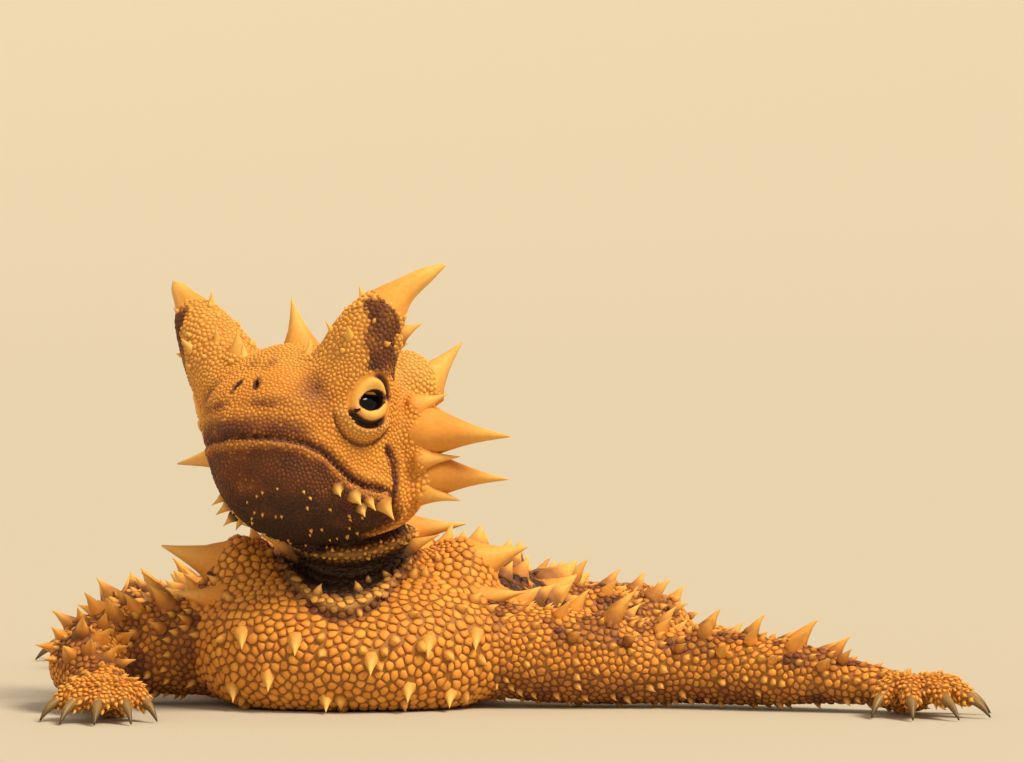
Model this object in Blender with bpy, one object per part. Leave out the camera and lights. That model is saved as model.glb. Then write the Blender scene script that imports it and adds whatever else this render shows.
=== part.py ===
"""A life-size thorny devil lizard lying on its belly, arms spread, with its head raised and turned.

Metres, +Z up, floor at z = 0. The animal faces -Y, its left side is +X, and the origin is the middle
of the flat patch where its belly rests. The tables of stations and thorns are in millimetres.
"""

import math
import random

import bmesh
import bpy
import numpy as np
from mathutils import Matrix, Vector
from mathutils.bvhtree import BVHTree

MM = 0.001
GAP = 0.3 * MM  # free space between neighbouring pieces
SEED = 11

# How the head is held: its middle in millimetres, and its turns in degrees
HEAD_CENTRE = (-4.4, -17.2, 22.85)
HEAD_YAW = 36.0  # towards the animal's right
HEAD_LIFT = 14.0
HEAD_ROLL = 4.5  # left side up

# Stations of the lofts along the back: x, y, z of the line, half width, height above, depth below
TRUNK = [
    (-1.2, -24.0, 4.6, 10.5, 4.4, 6.0),
    (-1.2, -19.0, 4.8, 12.6, 6.0, 6.2),
    (-1.2, -13.0, 5.0, 13.6, 7.0, 6.4),
    (-0.9, -5.0, 5.0, 15.0, 7.3, 6.4),
    (-0.4, 5.0, 5.0, 17.0, 7.4, 6.4),
    (0.0, 15.0, 5.0, 17.0, 7.2, 6.4),
    (0.0, 24.5, 5.0, 13.8, 6.4, 6.2),
    (0.2, 32.0, 5.0, 9.6, 5.4, 5.8),
    (0.4, 37.5, 4.9, 7.5, 4.8, 5.2),
]
TAIL = [
    (0.3, 33.0, 4.9, 7.2, 4.6, 4.9),
    (0.6, 40.0, 4.8, 6.0, 4.5, 5.0),
    (1.6, 49.0, 4.5, 5.0, 4.1, 4.8),
    (3.6, 60.0, 4.1, 4.4, 3.8, 4.4),
    (6.8, 71.0, 3.8, 3.9, 3.4, 4.0),
    (11.2, 81.5, 3.4, 3.4, 3.0, 3.5),
    (16.8, 91.0, 2.9, 2.8, 2.5, 3.0),
    (23.0, 98.5, 2.6, 2.1, 1.9, 2.2),
    (28.0, 103.0, 2.8, 1.6, 1.5, 1.6),
]
NECK = [
    (-0.6, -9.0, 6.0, 6.2, 6.2, 7.0),
    (-0.8, -11.0, 10.0, 6.0, 5.6, 6.4),
    (-1.3, -12.6, 13.6, 5.5, 4.8, 5.6),
    (-1.9, -13.4, 17.5, 5.4, 4.4, 5.2),
    (-2.4, -14.0, 22.0, 4.6, 3.6, 4.4),
]

# Stations of the limbs, from the trunk to the wrist or ankle
ARM_LEFT = [
    (6.0, -13.0, 6.0, 4.6, 3.6, 4.0),
    (13.0, -14.6, 4.9, 4.3, 4.0, 4.4),
    (20.0, -15.2, 4.4, 3.9, 3.7, 4.3),
    (27.5, -15.6, 3.8, 3.2, 3.0, 3.6),
    (34.5, -18.0, 3.4, 3.1, 2.9, 3.2),
    (40.5, -20.3, 2.7, 2.4, 2.1, 2.2),
    (45.5, -22.0, 2.0, 2.2, 1.6, 1.6),
]
ARM_RIGHT = [
    (-6.0, -12.0, 6.2, 4.6, 3.6, 3.8),
    (-12.6, -12.2, 5.4, 4.4, 4.0, 4.6),
    (-18.4, -11.8, 5.1, 4.1, 3.9, 4.4),
    (-22.6, -13.8, 4.7, 3.5, 3.4, 3.9),
    (-24.0, -18.4, 4.0, 3.2, 3.0, 3.4),
    (-22.8, -22.8, 2.9, 2.5, 2.2, 2.4),
    (-21.2, -26.2, 2.0, 2.2, 1.6, 1.6),
]
LEG_LEFT = [
    (5.0, 27.0, 5.2, 4.8, 3.6, 4.0),
    (11.6, 25.8, 5.0, 4.8, 3.9, 4.4),
    (18.2, 23.2, 4.9, 4.2, 3.7, 4.2),
    (23.8, 24.4, 4.5, 3.6, 3.2, 3.6),
    (26.6, 29.2, 3.8, 3.1, 2.9, 3.2),
    (25.4, 34.2, 2.9, 2.4, 2.1, 2.4),
    (27.6, 37.8, 2.0, 2.2, 1.6, 1.6),
]
LEG_RIGHT = [
    (-5.0, 27.4, 5.2, 4.8, 3.6, 4.0),
    (-11.4, 27.0, 5.0, 4.8, 3.9, 4.4),
    (-17.8, 24.6, 4.9, 4.3, 3.7, 4.2),
    (-22.8, 26.6, 4.5, 3.6, 3.2, 3.6),
    (-24.2, 32.0, 3.8, 3.2, 2.9, 3.2),
    (-22.6, 37.8, 2.9, 2.4, 2.1, 2.4),
    (-24.4, 41.4, 2.0, 2.2, 1.6, 1.6),
]
ELBOW = 0.55  # shares of a limb's length where it is parted
WRIST = 0.87
TAIL_JOINTS = (0.36, 0.68)
JOINT_GAP = 0.4
# Digits: yaw in degrees from the paw's own heading, and length to the claw's tip
DIGITS = [(-64.0, 7.0), (-32.0, 8.6), (-4.0, 9.2), (24.0, 8.8), (60.0, 7.2)]
DIGIT_RADIUS = 1.15
PALM_SIZE = (3.0, 3.0, 1.9)
PALM_CENTRE_HEIGHT = 1.5
# Heading of each paw in degrees, and the factor on the spread of its digits
PAWS = {
    "hand_left": (-62.0, 0.9),
    "hand_right": (-96.0, 0.72),
    "foot_left": (20.0, 1.0),
    "foot_right": (156.0, 1.0),
}
# A digit's profile: share of its length, height of its line, share of the digit's radius
DIGIT_PROFILE = [
    (0.0, 1.3, 1.0),
    (0.22, 1.9, 1.02),
    (0.42, 2.0, 0.98),
    (0.58, 1.5, 0.88),
    (0.68, 1.25, 0.56),
    (0.86, 0.8, 0.4),
    (1.0, 0.22, 0.12),
]

# The head in its own frame, in millimetres: x to its left, y to its back, z to its crown
SKULL = [
    (0.0, -11.4, -1.6, 3.9, 3.0, 3.4),
    (0.0, -10.0, -1.4, 5.1, 4.4, 4.8),
    (0.0, -7.2, -1.0, 6.8, 5.9, 6.7),
    (0.0, -4.0, -0.8, 8.2, 7.4, 7.9),
    (0.0, 0.0, -0.8, 9.0, 7.8, 8.2),
    (0.0, 3.8, -0.8, 9.5, 7.2, 7.4),
    (0.0, 6.8, -0.8, 8.6, 6.0, 6.0),
    (0.0, 9.6, -0.8, 6.4, 4.2, 4.4),
]
HORN = [
    (6.2, -3.7, 4.0, 3.6, 3.6, 3.6),
    (7.4, -4.3, 6.4, 3.6, 3.4, 3.4),
    (8.9, -4.6, 8.7, 3.1, 2.9, 2.9),
    (10.7, -4.3, 10.9, 2.1, 2.0, 2.0),
    (12.4, -3.5, 12.5, 1.0, 1.0, 1.0),
    (14.2, -2.5, 13.9, 0.15, 0.15, 0.15),
]
EYE_CENTRE = (6.6, -3.2, 1.6)
EYE_AXIS = (0.90, -0.40, 0.15)
EYE_RADIUS = 2.3
LID_THICKNESS = 0.55
LID_OPENING = 1.3
LID_RIM = (1.65, 0.42)  # ring radius and half its thickness
BROW = ((5.4, -2.8, 3.6), (4.0, 4.6, 3.8))  # centre and half sizes
CHEEK = ((6.2, 2.8, -3.6), (3.8, 4.6, 3.6))
LIP = ((0.0, -7.5, -2.5), (5.6, 3.9, 1.1))
NOSTRIL_PLACE = (1.6, -10.2, 2.3)
NOSTRIL_RADIUS = 0.5
EAR_PLACE = (10.2, 4.8, -0.4)
EAR_SIZE = (1.2, 1.0, 1.5)
# The mouth in the head's middle plane: back and height, from ahead of the lips to below the throat
MOUTH_LINE = [
    (-16.0, -2.6),
    (-7.0, -2.4),
    (-2.5, -4.4),
    (1.2, -5.1),
    (2.6, -6.6),
    (3.0, -9.0),
    (3.2, -16.0),
]

# Thorn rows: angle round the loft in degrees (0 to its side, 90 up), first and last share of its
# length, how many, thorn's length, root radius, and how far its tip leans back
TRUNK_ROWS = [
    (6.0, 0.25, 0.75, 6, 3.0, 1.4, 0.35),
    (22.0, 0.27, 0.79, 6, 4.6, 2.1, 0.45),
    (44.0, 0.29, 0.81, 6, 3.2, 1.6, 0.5),
    (64.0, 0.34, 0.83, 6, 2.9, 1.5, 0.5),
    (81.0, 0.40, 0.84, 5, 2.5, 1.3, 0.5),
]
TAIL_ROWS = [
    (12.0, 0.11, 0.89, 10, 3.4, 1.5, 0.5),
    (48.0, 0.09, 0.88, 10, 3.3, 1.5, 0.5),
    (82.0, 0.11, 0.86, 9, 2.9, 1.3, 0.5),
]
LIMB_ROWS = [
    (28.0, 0.24, 0.90, 6, 2.6, 1.2, 0.5),
    (62.0, 0.22, 0.93, 7, 3.4, 1.4, 0.55),
    (96.0, 0.24, 0.90, 7, 3.8, 1.5, 0.6),
    (130.0, 0.22, 0.88, 6, 3.2, 1.3, 0.55),
    (163.0, 0.27, 0.83, 5, 2.2, 1.1, 0.5),
]
# Single thorns on the left, mirrored to the right: root, tip, root radius
SHOULDER_SHIFT = -1.5  # the shoulders' middle lies this far to the animal's right
SHOULDER_HUMP = ((9.2, -10.6, 10.4), (3.6, 4.6, 3.8))  # centre and half sizes
SHOULDER_THORNS = [
    ((10.6, -11.0, 12.0), (15.4, -11.2, 13.6), 2.2),
    ((11.2, -14.6, 9.2), (15.2, -15.4, 9.9), 1.4),
    ((8.2, -9.4, 13.4), (8.8, -7.4, 15.6), 1.0),
]
NECK_THORNS = [((4.4, -13.6, 13.4), (7.8, -14.6, 14.8), 1.1)]
NAPE_KNOB_CENTRE = (-1.2, -3.4, 14.0)
NAPE_KNOB_SIZE = (4.8, 4.0, 4.2)
KNOB_THORNS = [
    ((4.6, -3.6, 14.6), (10.0, -2.8, 15.2), 1.7),
    ((3.0, -3.4, 16.8), (5.6, -2.6, 19.6), 1.2),
    ((3.4, -1.2, 15.0), (6.2, 1.6, 16.8), 1.1),
    ((1.2, -1.0, 16.6), (1.6, 1.6, 19.0), 0.9),
]
HEAD_THORNS = [
    ((8.8, 3.6, 1.2), (16.9, 5.2, 0.6), 2.1),
    ((8.8, 5.4, -2.2), (15.6, 7.2, -2.6), 1.7),
    ((7.8, 4.8, 4.4), (10.3, 6.2, 9.6), 1.7),
    ((9.2, 3.0, -1.4), (11.9, 5.0, -0.9), 0.9),
    ((8.6, 4.6, -3.8), (11.3, 6.4, -4.4), 1.0),
    ((9.0, 2.0, 3.0), (11.4, 3.2, 4.2), 0.9),
    ((4.0, 6.4, 4.6), (5.6, 8.8, 8.0), 1.2),
    ((3.4, -6.0, 5.0), (3.6, -6.4, 7.4), 0.9),
    ((7.6, 7.6, 1.6), (10.6, 10.8, 2.6), 1.1),
]
JAW_THORNS = [
    ((7.6, 0.6, -5.6), (9.0, 1.2, -7.6), 0.9),
    ((6.8, -2.4, -5.6), (8.0, -2.8, -6.6), 0.6),
]
HORN_THORNS = [
    ((6.4, -5.8, 7.4), (5.4, -6.8, 10.2), 1.1),
    ((10.2, -3.2, 6.4), (12.4, -2.6, 7.4), 0.9),
    ((8.2, -6.6, 6.6), (8.8, -8.2, 7.6), 0.8),
]
CROWN_THORN = ((0.0, -3.2, 6.0), (0.0, -4.9, 11.5), 1.8)
# Blunt tubercles on the chest: x and z in millimetres, seen from the front
CHEST_TUBERCLES = [
    (-8.1, 3.1), (-11.2, 2.0), (-3.2, 1.4), (3.7, 2.2), (7.2, 1.6), (11.2, 2.9), (13.4, 3.4),
    (-5.8, 6.2), (5.4, 6.0), (0.6, 4.6), (9.4, 6.4), (-10.4, 6.6),
]
BOWED_LENGTH = 3.1  # thorns longer than this are hooked
THORN_BOW = 0.09  # share of its length by which a thorn is bowed
DEEPEST = 10.0  # how far inside a node a point can lie
TUBERCLE_LENGTH = 1.1
TUBERCLE_RADIUS = 0.6

# Colours of the materials
SKIN_COLOUR = (0.58, 0.34, 0.13)
HORN_COLOUR = (0.74, 0.5, 0.2)
EYE_COLOUR = (0.02, 0.012, 0.006)


def unit(v):
    """The rows of v, scaled to length one."""
    return v / np.maximum(np.linalg.norm(v, axis=-1, keepdims=True), 1e-12)


class Loft:
    """A smooth closed skin through rounded sections set along a curved line."""

    def __init__(self, stations, roundness=2.2, domes=(0.0, 0.0), up=(0.0, 0.0, 1.0)):
        rows = np.array(stations, float) * MM
        self.centres = rows[:, :3]
        self.sizes = rows[:, 3:]
        steps = np.linalg.norm(np.diff(self.centres, axis=0), axis=1)
        self.knots = np.concatenate([[0.0], np.cumsum(steps)])
        self.length = float(self.knots[-1])
        self.roundness = roundness
        self.domes = (domes[0] * MM, domes[1] * MM)
        self.up = np.array(up, float)

    def between(self, values, s):
        """Smooth curve through the stations' values, read at the lengths s."""
        knots = self.knots
        slopes = np.gradient(values, knots, axis=0)
        i = np.clip(np.searchsorted(knots, s, side="right") - 1, 0, len(knots) - 2)
        span = (knots[i + 1] - knots[i])[:, None]
        u = (s - knots[i])[:, None] / span
        start = (2 * u**3 - 3 * u**2 + 1) * values[i] + (u**3 - 2 * u**2 + u) * span * slopes[i]
        end = (3 * u**2 - 2 * u**3) * values[i + 1] + (u**3 - u**2) * span * slopes[i + 1]
        return start + end

    def swell(self, s):
        """Factor on the section's size that rounds off a domed end."""
        factor = np.ones_like(s)
        for reach, depth in zip(self.domes, (s, self.length - s)):
            if reach:
                factor *= np.sqrt(1 - np.clip(1 - depth / reach, 0, 1) ** 2)
        return factor[:, None]

    def axes(self, s):
        """Centre, tangent, side and upright axis at the lengths s."""
        step = 0.2 * MM
        ahead = self.between(self.centres, np.minimum(s + step, self.length))
        behind = self.between(self.centres, np.maximum(s - step, 0))
        tangent = unit(ahead - behind)
        side = unit(np.cross(tangent, self.up))
        return self.between(self.centres, s), tangent, side, np.cross(side, tangent)

    def points(self, s, angles, grow=0.0):
        """Points of the skin at the lengths s and the angles round it."""
        s, angles = np.broadcast_arrays(np.asarray(s, float), np.asarray(angles, float))
        centre, _, side, upright = self.axes(s)
        size = self.between(self.sizes, s) * self.swell(s) + grow
        cosine = np.cos(angles)
        sine = np.sin(angles)
        power = 2 / self.roundness
        height = np.where(sine > 0, size[:, 1], size[:, 2])
        across = size[:, 0] * np.sign(cosine) * np.abs(cosine) ** power
        height = height * np.sign(sine) * np.abs(sine) ** power
        return centre + across[:, None] * side + height[:, None] * upright

    def place(self, s, degrees):
        """Point, outward normal and tangent at one place of the skin."""
        angle = math.radians(degrees)
        step = 0.3 * MM
        turn = 0.04
        p = self.points(
            np.array([s, s, s - step, s + step, s]),
            np.array([angle - turn, angle + turn, angle, angle, angle]),
        )
        centre, tangent, _, _ = self.axes(np.array([s]))
        normal = unit(np.cross(p[1] - p[0], p[3] - p[2]))
        if normal @ (p[4] - centre[0]) < 0:
            normal = -normal
        return Vector(p[4]), Vector(normal), Vector(tangent[0])

    def rings(self, count, share):
        """Lengths of the rings in a share of the loft, closing up where an end is domed."""
        bend = np.linspace(0.0, math.pi / 2, 6)[1:]
        start, end = share[0] * self.length, share[1] * self.length
        first = np.array([start])
        last = np.array([end])
        if self.domes[0] and start == 0:
            first = self.domes[0] * (1 - np.cos(bend))
        if self.domes[1] and end == self.length:
            last = self.length - self.domes[1] * (1 - np.cos(bend))[::-1]
        middle = np.linspace(first[-1], last[0], count)[1:-1]
        return np.concatenate([first, middle, last])

    def build(self, name, sides, count, grow=0.0, share=(0.0, 1.0)):
        """The closed mesh of a share of the loft, with a fan on each end."""
        s = self.rings(count, share)
        angles = np.arange(sides) * 2 * math.pi / sides
        grid = self.points(np.repeat(s, sides), np.tile(angles, len(s)), grow)
        ends, tangent, _, _ = self.axes(np.array(share) * self.length)
        ends = ends + tangent * np.array([[-grow], [grow]])
        points = np.concatenate([grid, ends])
        return mesh_object(name, points, ring_faces(sides, len(s)))


def lengths(loft, names, sides, counts, joints):
    """The loft in lengths, each a closed solid, with a thin gap at every joint."""
    apart = JOINT_GAP * MM / 2 / loft.length
    starts = [0.0] + [share + apart for share in joints]
    ends = [share - apart for share in joints] + [1.0]
    spans = zip(names, counts, zip(starts, ends))
    return [loft.build(name, sides, count, share=span) for name, count, span in spans]


def ring_faces(sides, rings):
    """Quads between neighbouring rings, and a fan at each end round one more point."""
    faces = []
    start, end = sides * rings, sides * rings + 1
    for j in range(sides):
        k = (j + 1) % sides
        for i in range(rings - 1):
            faces.append((i * sides + j, i * sides + k, (i + 1) * sides + k, (i + 1) * sides + j))
        faces.append((start, k, j))
        faces.append((end, (rings - 1) * sides + j, (rings - 1) * sides + k))
    return faces


def in_scratch(name, mesh):
    """Links a mesh to the scratch collection as a new object."""
    obj = bpy.data.objects.new(name, mesh)
    bpy.data.collections["scratch"].objects.link(obj)
    return obj


def mesh_object(name, points, faces):
    """A new closed object whose normals point outwards."""
    mesh = bpy.data.meshes.new(name)
    mesh.from_pydata([tuple(p) for p in points], [], faces)
    made = bmesh.new()
    made.from_mesh(mesh)
    if made.calc_volume(signed=True) < 0:
        bmesh.ops.reverse_faces(made, faces=made.faces)
    made.to_mesh(mesh)
    made.free()
    return in_scratch(name, mesh)


def moved_bmesh(name, made, matrix):
    """An object from a bmesh carried by a matrix."""
    bmesh.ops.transform(made, matrix=matrix, verts=made.verts)
    mesh = bpy.data.meshes.new(name)
    made.to_mesh(mesh)
    made.free()
    return in_scratch(name, mesh)


def ball(name, centre, size, segments=14, rings=9):
    """An ellipsoid from its centre and half sizes, in millimetres."""
    made = bmesh.new()
    bmesh.ops.create_uvsphere(made, u_segments=segments, v_segments=rings, radius=MM)
    matrix = Matrix.Translation(Vector(centre) * MM) @ Matrix.Diagonal((*size, 1.0))
    return moved_bmesh(name, made, matrix)


def along(direction):
    """The rotation that carries +Z onto a direction."""
    return Vector(direction).to_track_quat("Z", "Y").to_matrix().to_4x4()


def cone(name, base, tip, radius, top_radius=0.0, sides=5):
    """A cone or rod between two points, in metres."""
    made = bmesh.new()
    way = Vector(tip) - Vector(base)
    bmesh.ops.create_cone(made, cap_ends=True, segments=sides, radius1=radius,
                          radius2=top_radius, depth=way.length)
    return moved_bmesh(name, made, Matrix.Translation((Vector(base) + Vector(tip)) / 2) @ along(way))


def thorn(root, tip, radius, sides, bow):
    """A tapered spike with a sunk root, bowed by a vector at half its height."""
    way = (tip - root).normalized()
    base = root - way * radius * 0.6
    middle = root.lerp(tip, 0.45) + bow
    made = bmesh.new()
    length = (middle - base).length
    bmesh.ops.create_cone(made, cap_ends=True, segments=sides, radius1=radius,
                          radius2=radius * 0.5, depth=length)
    top = max(made.faces, key=lambda face: face.calc_center_median().z)
    peak = bmesh.ops.poke(made, faces=[top])["verts"][0]
    matrix = Matrix.Translation((base + middle) / 2) @ along(middle - base)
    bmesh.ops.transform(made, matrix=matrix, verts=made.verts)
    peak.co = tip
    return moved_bmesh("thorn", made, Matrix.Identity(4))


def floor_block():
    """The block below the floor that flattens what rests on it."""
    made = bmesh.new()
    bmesh.ops.create_cube(made, size=1.0)
    matrix = Matrix.Translation((0, 0.03, -0.01)) @ Matrix.Diagonal((0.3, 0.4, 0.02, 1.0))
    return moved_bmesh("floor", made, matrix)


def carried(obj, matrix):
    """Applies a matrix to the object's mesh."""
    obj.data.transform(matrix)
    obj.data.update()
    return obj


def shaped(obj, pieces, operation):
    """One Boolean with a collection of closed pieces, which are then removed."""
    if not pieces:
        return obj
    group = bpy.data.collections.new("pieces")
    bpy.context.scene.collection.children.link(group)
    for piece in pieces:
        bpy.data.collections["scratch"].objects.unlink(piece)
        group.objects.link(piece)
    modifier = obj.modifiers.new("shape", "BOOLEAN")
    modifier.operation = operation
    modifier.operand_type = "COLLECTION"
    modifier.collection = group
    bpy.context.view_layer.update()
    graph = bpy.context.evaluated_depsgraph_get()
    mesh = bpy.data.meshes.new_from_object(obj.evaluated_get(graph))
    obj.modifiers.clear()
    obj.data = mesh
    for piece in pieces:
        bpy.data.objects.remove(piece)
    bpy.data.collections.remove(group)
    return obj


def fuse(obj, pieces):
    return shaped(obj, pieces, "UNION")


def cut(obj, pieces):
    return shaped(obj, pieces, "DIFFERENCE")


def closed_surfaces(obj):
    """The separate closed surfaces of an object, each a set of vertex indices, largest first."""
    made = bmesh.new()
    made.from_mesh(obj.data)
    left = set(made.verts)
    found = []
    while left:
        stack = [left.pop()]
        group = set(stack)
        while stack:
            for edge in stack.pop().link_edges:
                for vert in edge.verts:
                    if vert in left:
                        left.discard(vert)
                        stack.append(vert)
                        group.add(vert)
        low, high = (Vector(f(v.co[i] for v in group) for i in range(3)) for f in (min, max))
        found.append(((high - low).length, {v.index for v in group}))
    made.free()
    return [group for _, group in sorted(found, key=lambda item: -item[0])]


def keep_vertices(obj, kept):
    """Removes every vertex of the object that isn't in a set of indices."""
    made = bmesh.new()
    made.from_mesh(obj.data)
    gone = [v for v in made.verts if v.index not in kept]
    bmesh.ops.delete(made, geom=gone, context="VERTS")
    made.to_mesh(obj.data)
    made.free()
    return obj


def keep_largest(obj):
    return keep_vertices(obj, closed_surfaces(obj)[0])


def is_inside(tree, point):
    """Whether a point lies inside a closed surface, by the hits of a ray that leaves it."""
    hits = 0
    start = point
    while start is not None:
        start = tree.ray_cast(start, Vector((0.1, 0.2, 1.0)))[0]
        if start is not None:
            hits += 1
            start = start + Vector((0.1, 0.2, 1.0)) * 0.001 * MM
    return hits % 2 == 1


class Thorns:
    """Grows thorns and keeps each clear of the floor, of other nodes and of their thorns."""

    def __init__(self, bodies):
        self.bodies = bodies
        self.trees = {}
        for name, obj in bodies.items():
            made = bmesh.new()
            made.from_mesh(obj.data)
            self.trees[name] = BVHTree.FromBMesh(made)
            made.free()
        self.balls = {name: [] for name in bodies}
        self.pieces = {name: [] for name in bodies}
        self.random = random.Random(SEED)

    def is_clear(self, name, balls):
        """Whether balls that fill a thorn stay clear of everything but its own node."""
        for centre, radius in balls:
            reach = radius + GAP
            if centre.z < reach:
                return False
            for other, tree in self.trees.items():
                if other == name:
                    continue
                distance = tree.find_nearest(centre)[3]
                if distance < reach or (distance < DEEPEST * MM and is_inside(tree, centre)):
                    return False
                if any((c - centre).length < reach + r for c, r in self.balls[other]):
                    return False
        return True

    def grow(self, name, root, tip, radius, sides=5, bow=None):
        """One thorn in metres, its root sunk below the skin, unless it would touch something."""
        balls = [(root.lerp(tip, u), radius * (1 - u)) for u in (0.0, 0.25, 0.5, 0.75, 1.0)]
        if not self.is_clear(name, balls):
            return
        self.balls[name] += balls
        if bow:
            self.pieces[name].append(thorn(root, tip, radius, sides, bow))
            return
        sunk = root - (tip - root).normalized() * radius * 0.6
        self.pieces[name].append(cone("thorn", sunk, tip, radius, sides=sides))

    def row(self, loft, row, mirrored, owner):
        """A row of thorns along a loft, where owner names the node at a share of its length."""
        angle, first, last, count, length, radius, lean = row
        widest = loft.sizes[:, 0].max()
        for i in range(count):
            step = (i + 0.5 * (int(angle / 17) % 2)) / count
            share = first + (last - first) * step + self.random.uniform(-0.01, 0.01)
            s = share * loft.length
            turn = angle + self.random.uniform(-4, 4)
            root, normal, tangent = loft.place(s, 180 - turn if mirrored else turn)
            width = float(loft.between(loft.sizes, np.array([s]))[0, 0])
            size = self.random.uniform(0.85, 1.12) * (0.5 + 0.5 * width / widest) * MM
            tip = root + (normal + tangent * lean).normalized() * length * size
            bow = normal * length * size * THORN_BOW if length > BOWED_LENGTH else None
            self.grow(owner(share), root, tip, radius * size, bow=bow)

    def pair(self, name, table, matrix, sides=(1, -1)):
        """Single thorns from a table, on the left and mirrored to the right."""
        for root, tip, radius in table:
            for side in sides:
                ends = [matrix @ Vector((p[0] * side * MM, p[1] * MM, p[2] * MM)) for p in (root, tip)]
                self.grow(name, *ends, radius * MM, sides=6)

    def fuse_all(self):
        """Joins each node's thorns to it."""
        for name, obj in self.bodies.items():
            fuse(obj, self.pieces[name])
            keep_largest(obj)


def head_pose():
    """The matrix that carries the head's own frame into the body's."""
    yaw = Matrix.Rotation(math.radians(-HEAD_YAW), 4, "Z")
    lift = Matrix.Rotation(math.radians(-HEAD_LIFT), 4, "X")
    roll = Matrix.Rotation(math.radians(-HEAD_ROLL), 4, "Y")
    return Matrix.Translation(Vector(HEAD_CENTRE) * MM) @ yaw @ lift @ roll


def sided(point, side):
    """A point of the left side, or its mirror image for side -1."""
    return (point[0] * side, point[1], point[2])


def mouth_cutter():
    """A thin curved wall that parts the lower jaw from the rest of the head."""
    control = Loft([(0.0, y, z, 1.0, 1.0, 1.0) for y, z in MOUTH_LINE])
    line = control.between(control.centres, np.linspace(0.0, control.length, 25))[:, 1:]
    way = unit(np.gradient(line, axis=0))
    beside = np.stack([-way[:, 1], way[:, 0]], axis=1) * GAP / 2
    outline = np.concatenate([line + beside, (line - beside)[::-1]])
    count = len(outline)
    reach = 16 * MM
    points = [(x, y, z) for x in (-reach, reach) for y, z in outline]
    faces = [(i, (i + 1) % count, count + (i + 1) % count, count + i) for i in range(count)]
    for base in (0, count):
        for i in range(count // 2 - 1):
            quad = (base + i, base + i + 1, base + count - 2 - i, base + count - 1 - i)
            faces.append(quad[::-1] if base == 0 else quad)
    return mesh_object("mouth", points, faces)


def eye_matrix(side):
    """The matrix that carries +Z onto the axis of one eye."""
    return Matrix.Translation(Vector(sided(EYE_CENTRE, side)) * MM) @ along(sided(EYE_AXIS, side))


def lid_rim(side):
    """The thick ring round the opening of the lids."""
    ring, half_thickness = LID_RIM
    lift = math.sqrt((EYE_RADIUS + LID_THICKNESS) ** 2 - ring**2)
    bpy.ops.mesh.primitive_torus_add(major_radius=ring * MM, minor_radius=half_thickness * MM,
                                     major_segments=14, minor_segments=6)
    made = bpy.context.object
    for group in list(made.users_collection):
        group.objects.unlink(made)
    bpy.data.collections["scratch"].objects.link(made)
    return carried(made, eye_matrix(side) @ Matrix.Translation((0, 0, lift * MM)))


def skull_loft():
    return Loft(SKULL, roundness=2.4, domes=(4.0, 4.5))


def head_and_jaw():
    """The head with brows, lids, lips, nostrils and ears, and the lower jaw parted from it."""
    head = skull_loft().build("head", 28, 9)
    added = [ball("lip", *LIP)]
    taken = [mouth_cutter()]
    for side in (1, -1):
        eye = eye_matrix(side)
        outer = EYE_RADIUS + LID_THICKNESS + 0.2
        added.append(ball("brow", sided(BROW[0], side), BROW[1]))
        added.append(ball("cheek", sided(CHEEK[0], side), CHEEK[1]))
        added.append(ball("lid", sided(EYE_CENTRE, side), (outer, outer, outer)))
        added.append(lid_rim(side))
        socket = EYE_RADIUS + GAP / MM
        taken.append(ball("socket", sided(EYE_CENTRE, side), (socket, socket, socket)))
        taken.append(cone("opening", eye.translation, eye @ Vector((0, 0, 5 * MM)),
                          LID_OPENING * MM, LID_OPENING * MM, sides=14))
        nostril = sided(NOSTRIL_PLACE, side)
        taken.append(ball("nostril", nostril, (NOSTRIL_RADIUS,) * 3, segments=8, rings=5))
        taken.append(ball("ear", sided(EAR_PLACE, side), EAR_SIZE, segments=10, rings=6))
    fuse(head, added)
    cut(head, taken)
    jaw = in_scratch("lower_jaw", head.data.copy())
    surfaces = closed_surfaces(head)[:2]

    def height(group):
        return sum(head.data.vertices[i].co.z for i in group) / len(group)

    lower, upper = sorted(surfaces, key=height)
    return keep_vertices(head, upper), keep_vertices(jaw, lower)


def head_cutters(grow):
    """Closed pieces that fill the head and stand off from it, for fitting its neighbours."""
    pose = head_pose()
    cutters = [skull_loft().build("skull", 28, 9, grow * MM)]
    for side in (1, -1):
        for centre, size in (BROW, CHEEK):
            cutters.append(ball("cutter", sided(centre, side), [r + grow for r in size]))
        outer = EYE_RADIUS + LID_THICKNESS + 0.2 + grow
        cutters.append(ball("cutter", sided(EYE_CENTRE, side), (outer, outer, outer)))
    return [carried(cutter, pose) for cutter in cutters]


def paw(name, limb_end, side):
    """The pieces of a hand or foot: a low palm and five clawed digits."""
    heading, widening = PAWS[name]
    yaw = math.radians(heading)
    wrist = Vector((limb_end[0], limb_end[1], 0.0))
    centre = wrist + Vector((math.cos(yaw), math.sin(yaw), 0)) * 0.8
    pieces = [ball("palm", (centre.x, centre.y, PALM_CENTRE_HEIGHT), PALM_SIZE)]
    for spread, reach in DIGITS:
        angle = math.radians(heading + spread * widening * side)
        way = Vector((math.cos(angle), math.sin(angle), 0))
        rows = []
        for share, height, thickness in DIGIT_PROFILE:
            p = centre + way * reach * share
            radius = DIGIT_RADIUS * thickness
            rows.append((p.x, p.y, height, radius, radius, radius))
        pieces.append(Loft(rows, roundness=2.0).build("digit", 6, 8))
    return pieces


def limb(loft, names, side):
    """The two long pieces of a limb and its paw."""
    upper, lower, end = lengths(loft, names, 12, (9, 7, 3), (ELBOW, WRIST))
    cut(upper, trunk_solids(GAP / MM))
    fuse(end, paw(names[-1], tuple(loft.centres[-1] / MM), side))
    for piece in (upper, lower, end):
        cut(piece, [floor_block()])
        keep_largest(piece)
    return [upper, lower, end]


def trunk_loft():
    return Loft(TRUNK, roundness=2.5, domes=(8.0, 0.0))


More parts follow.
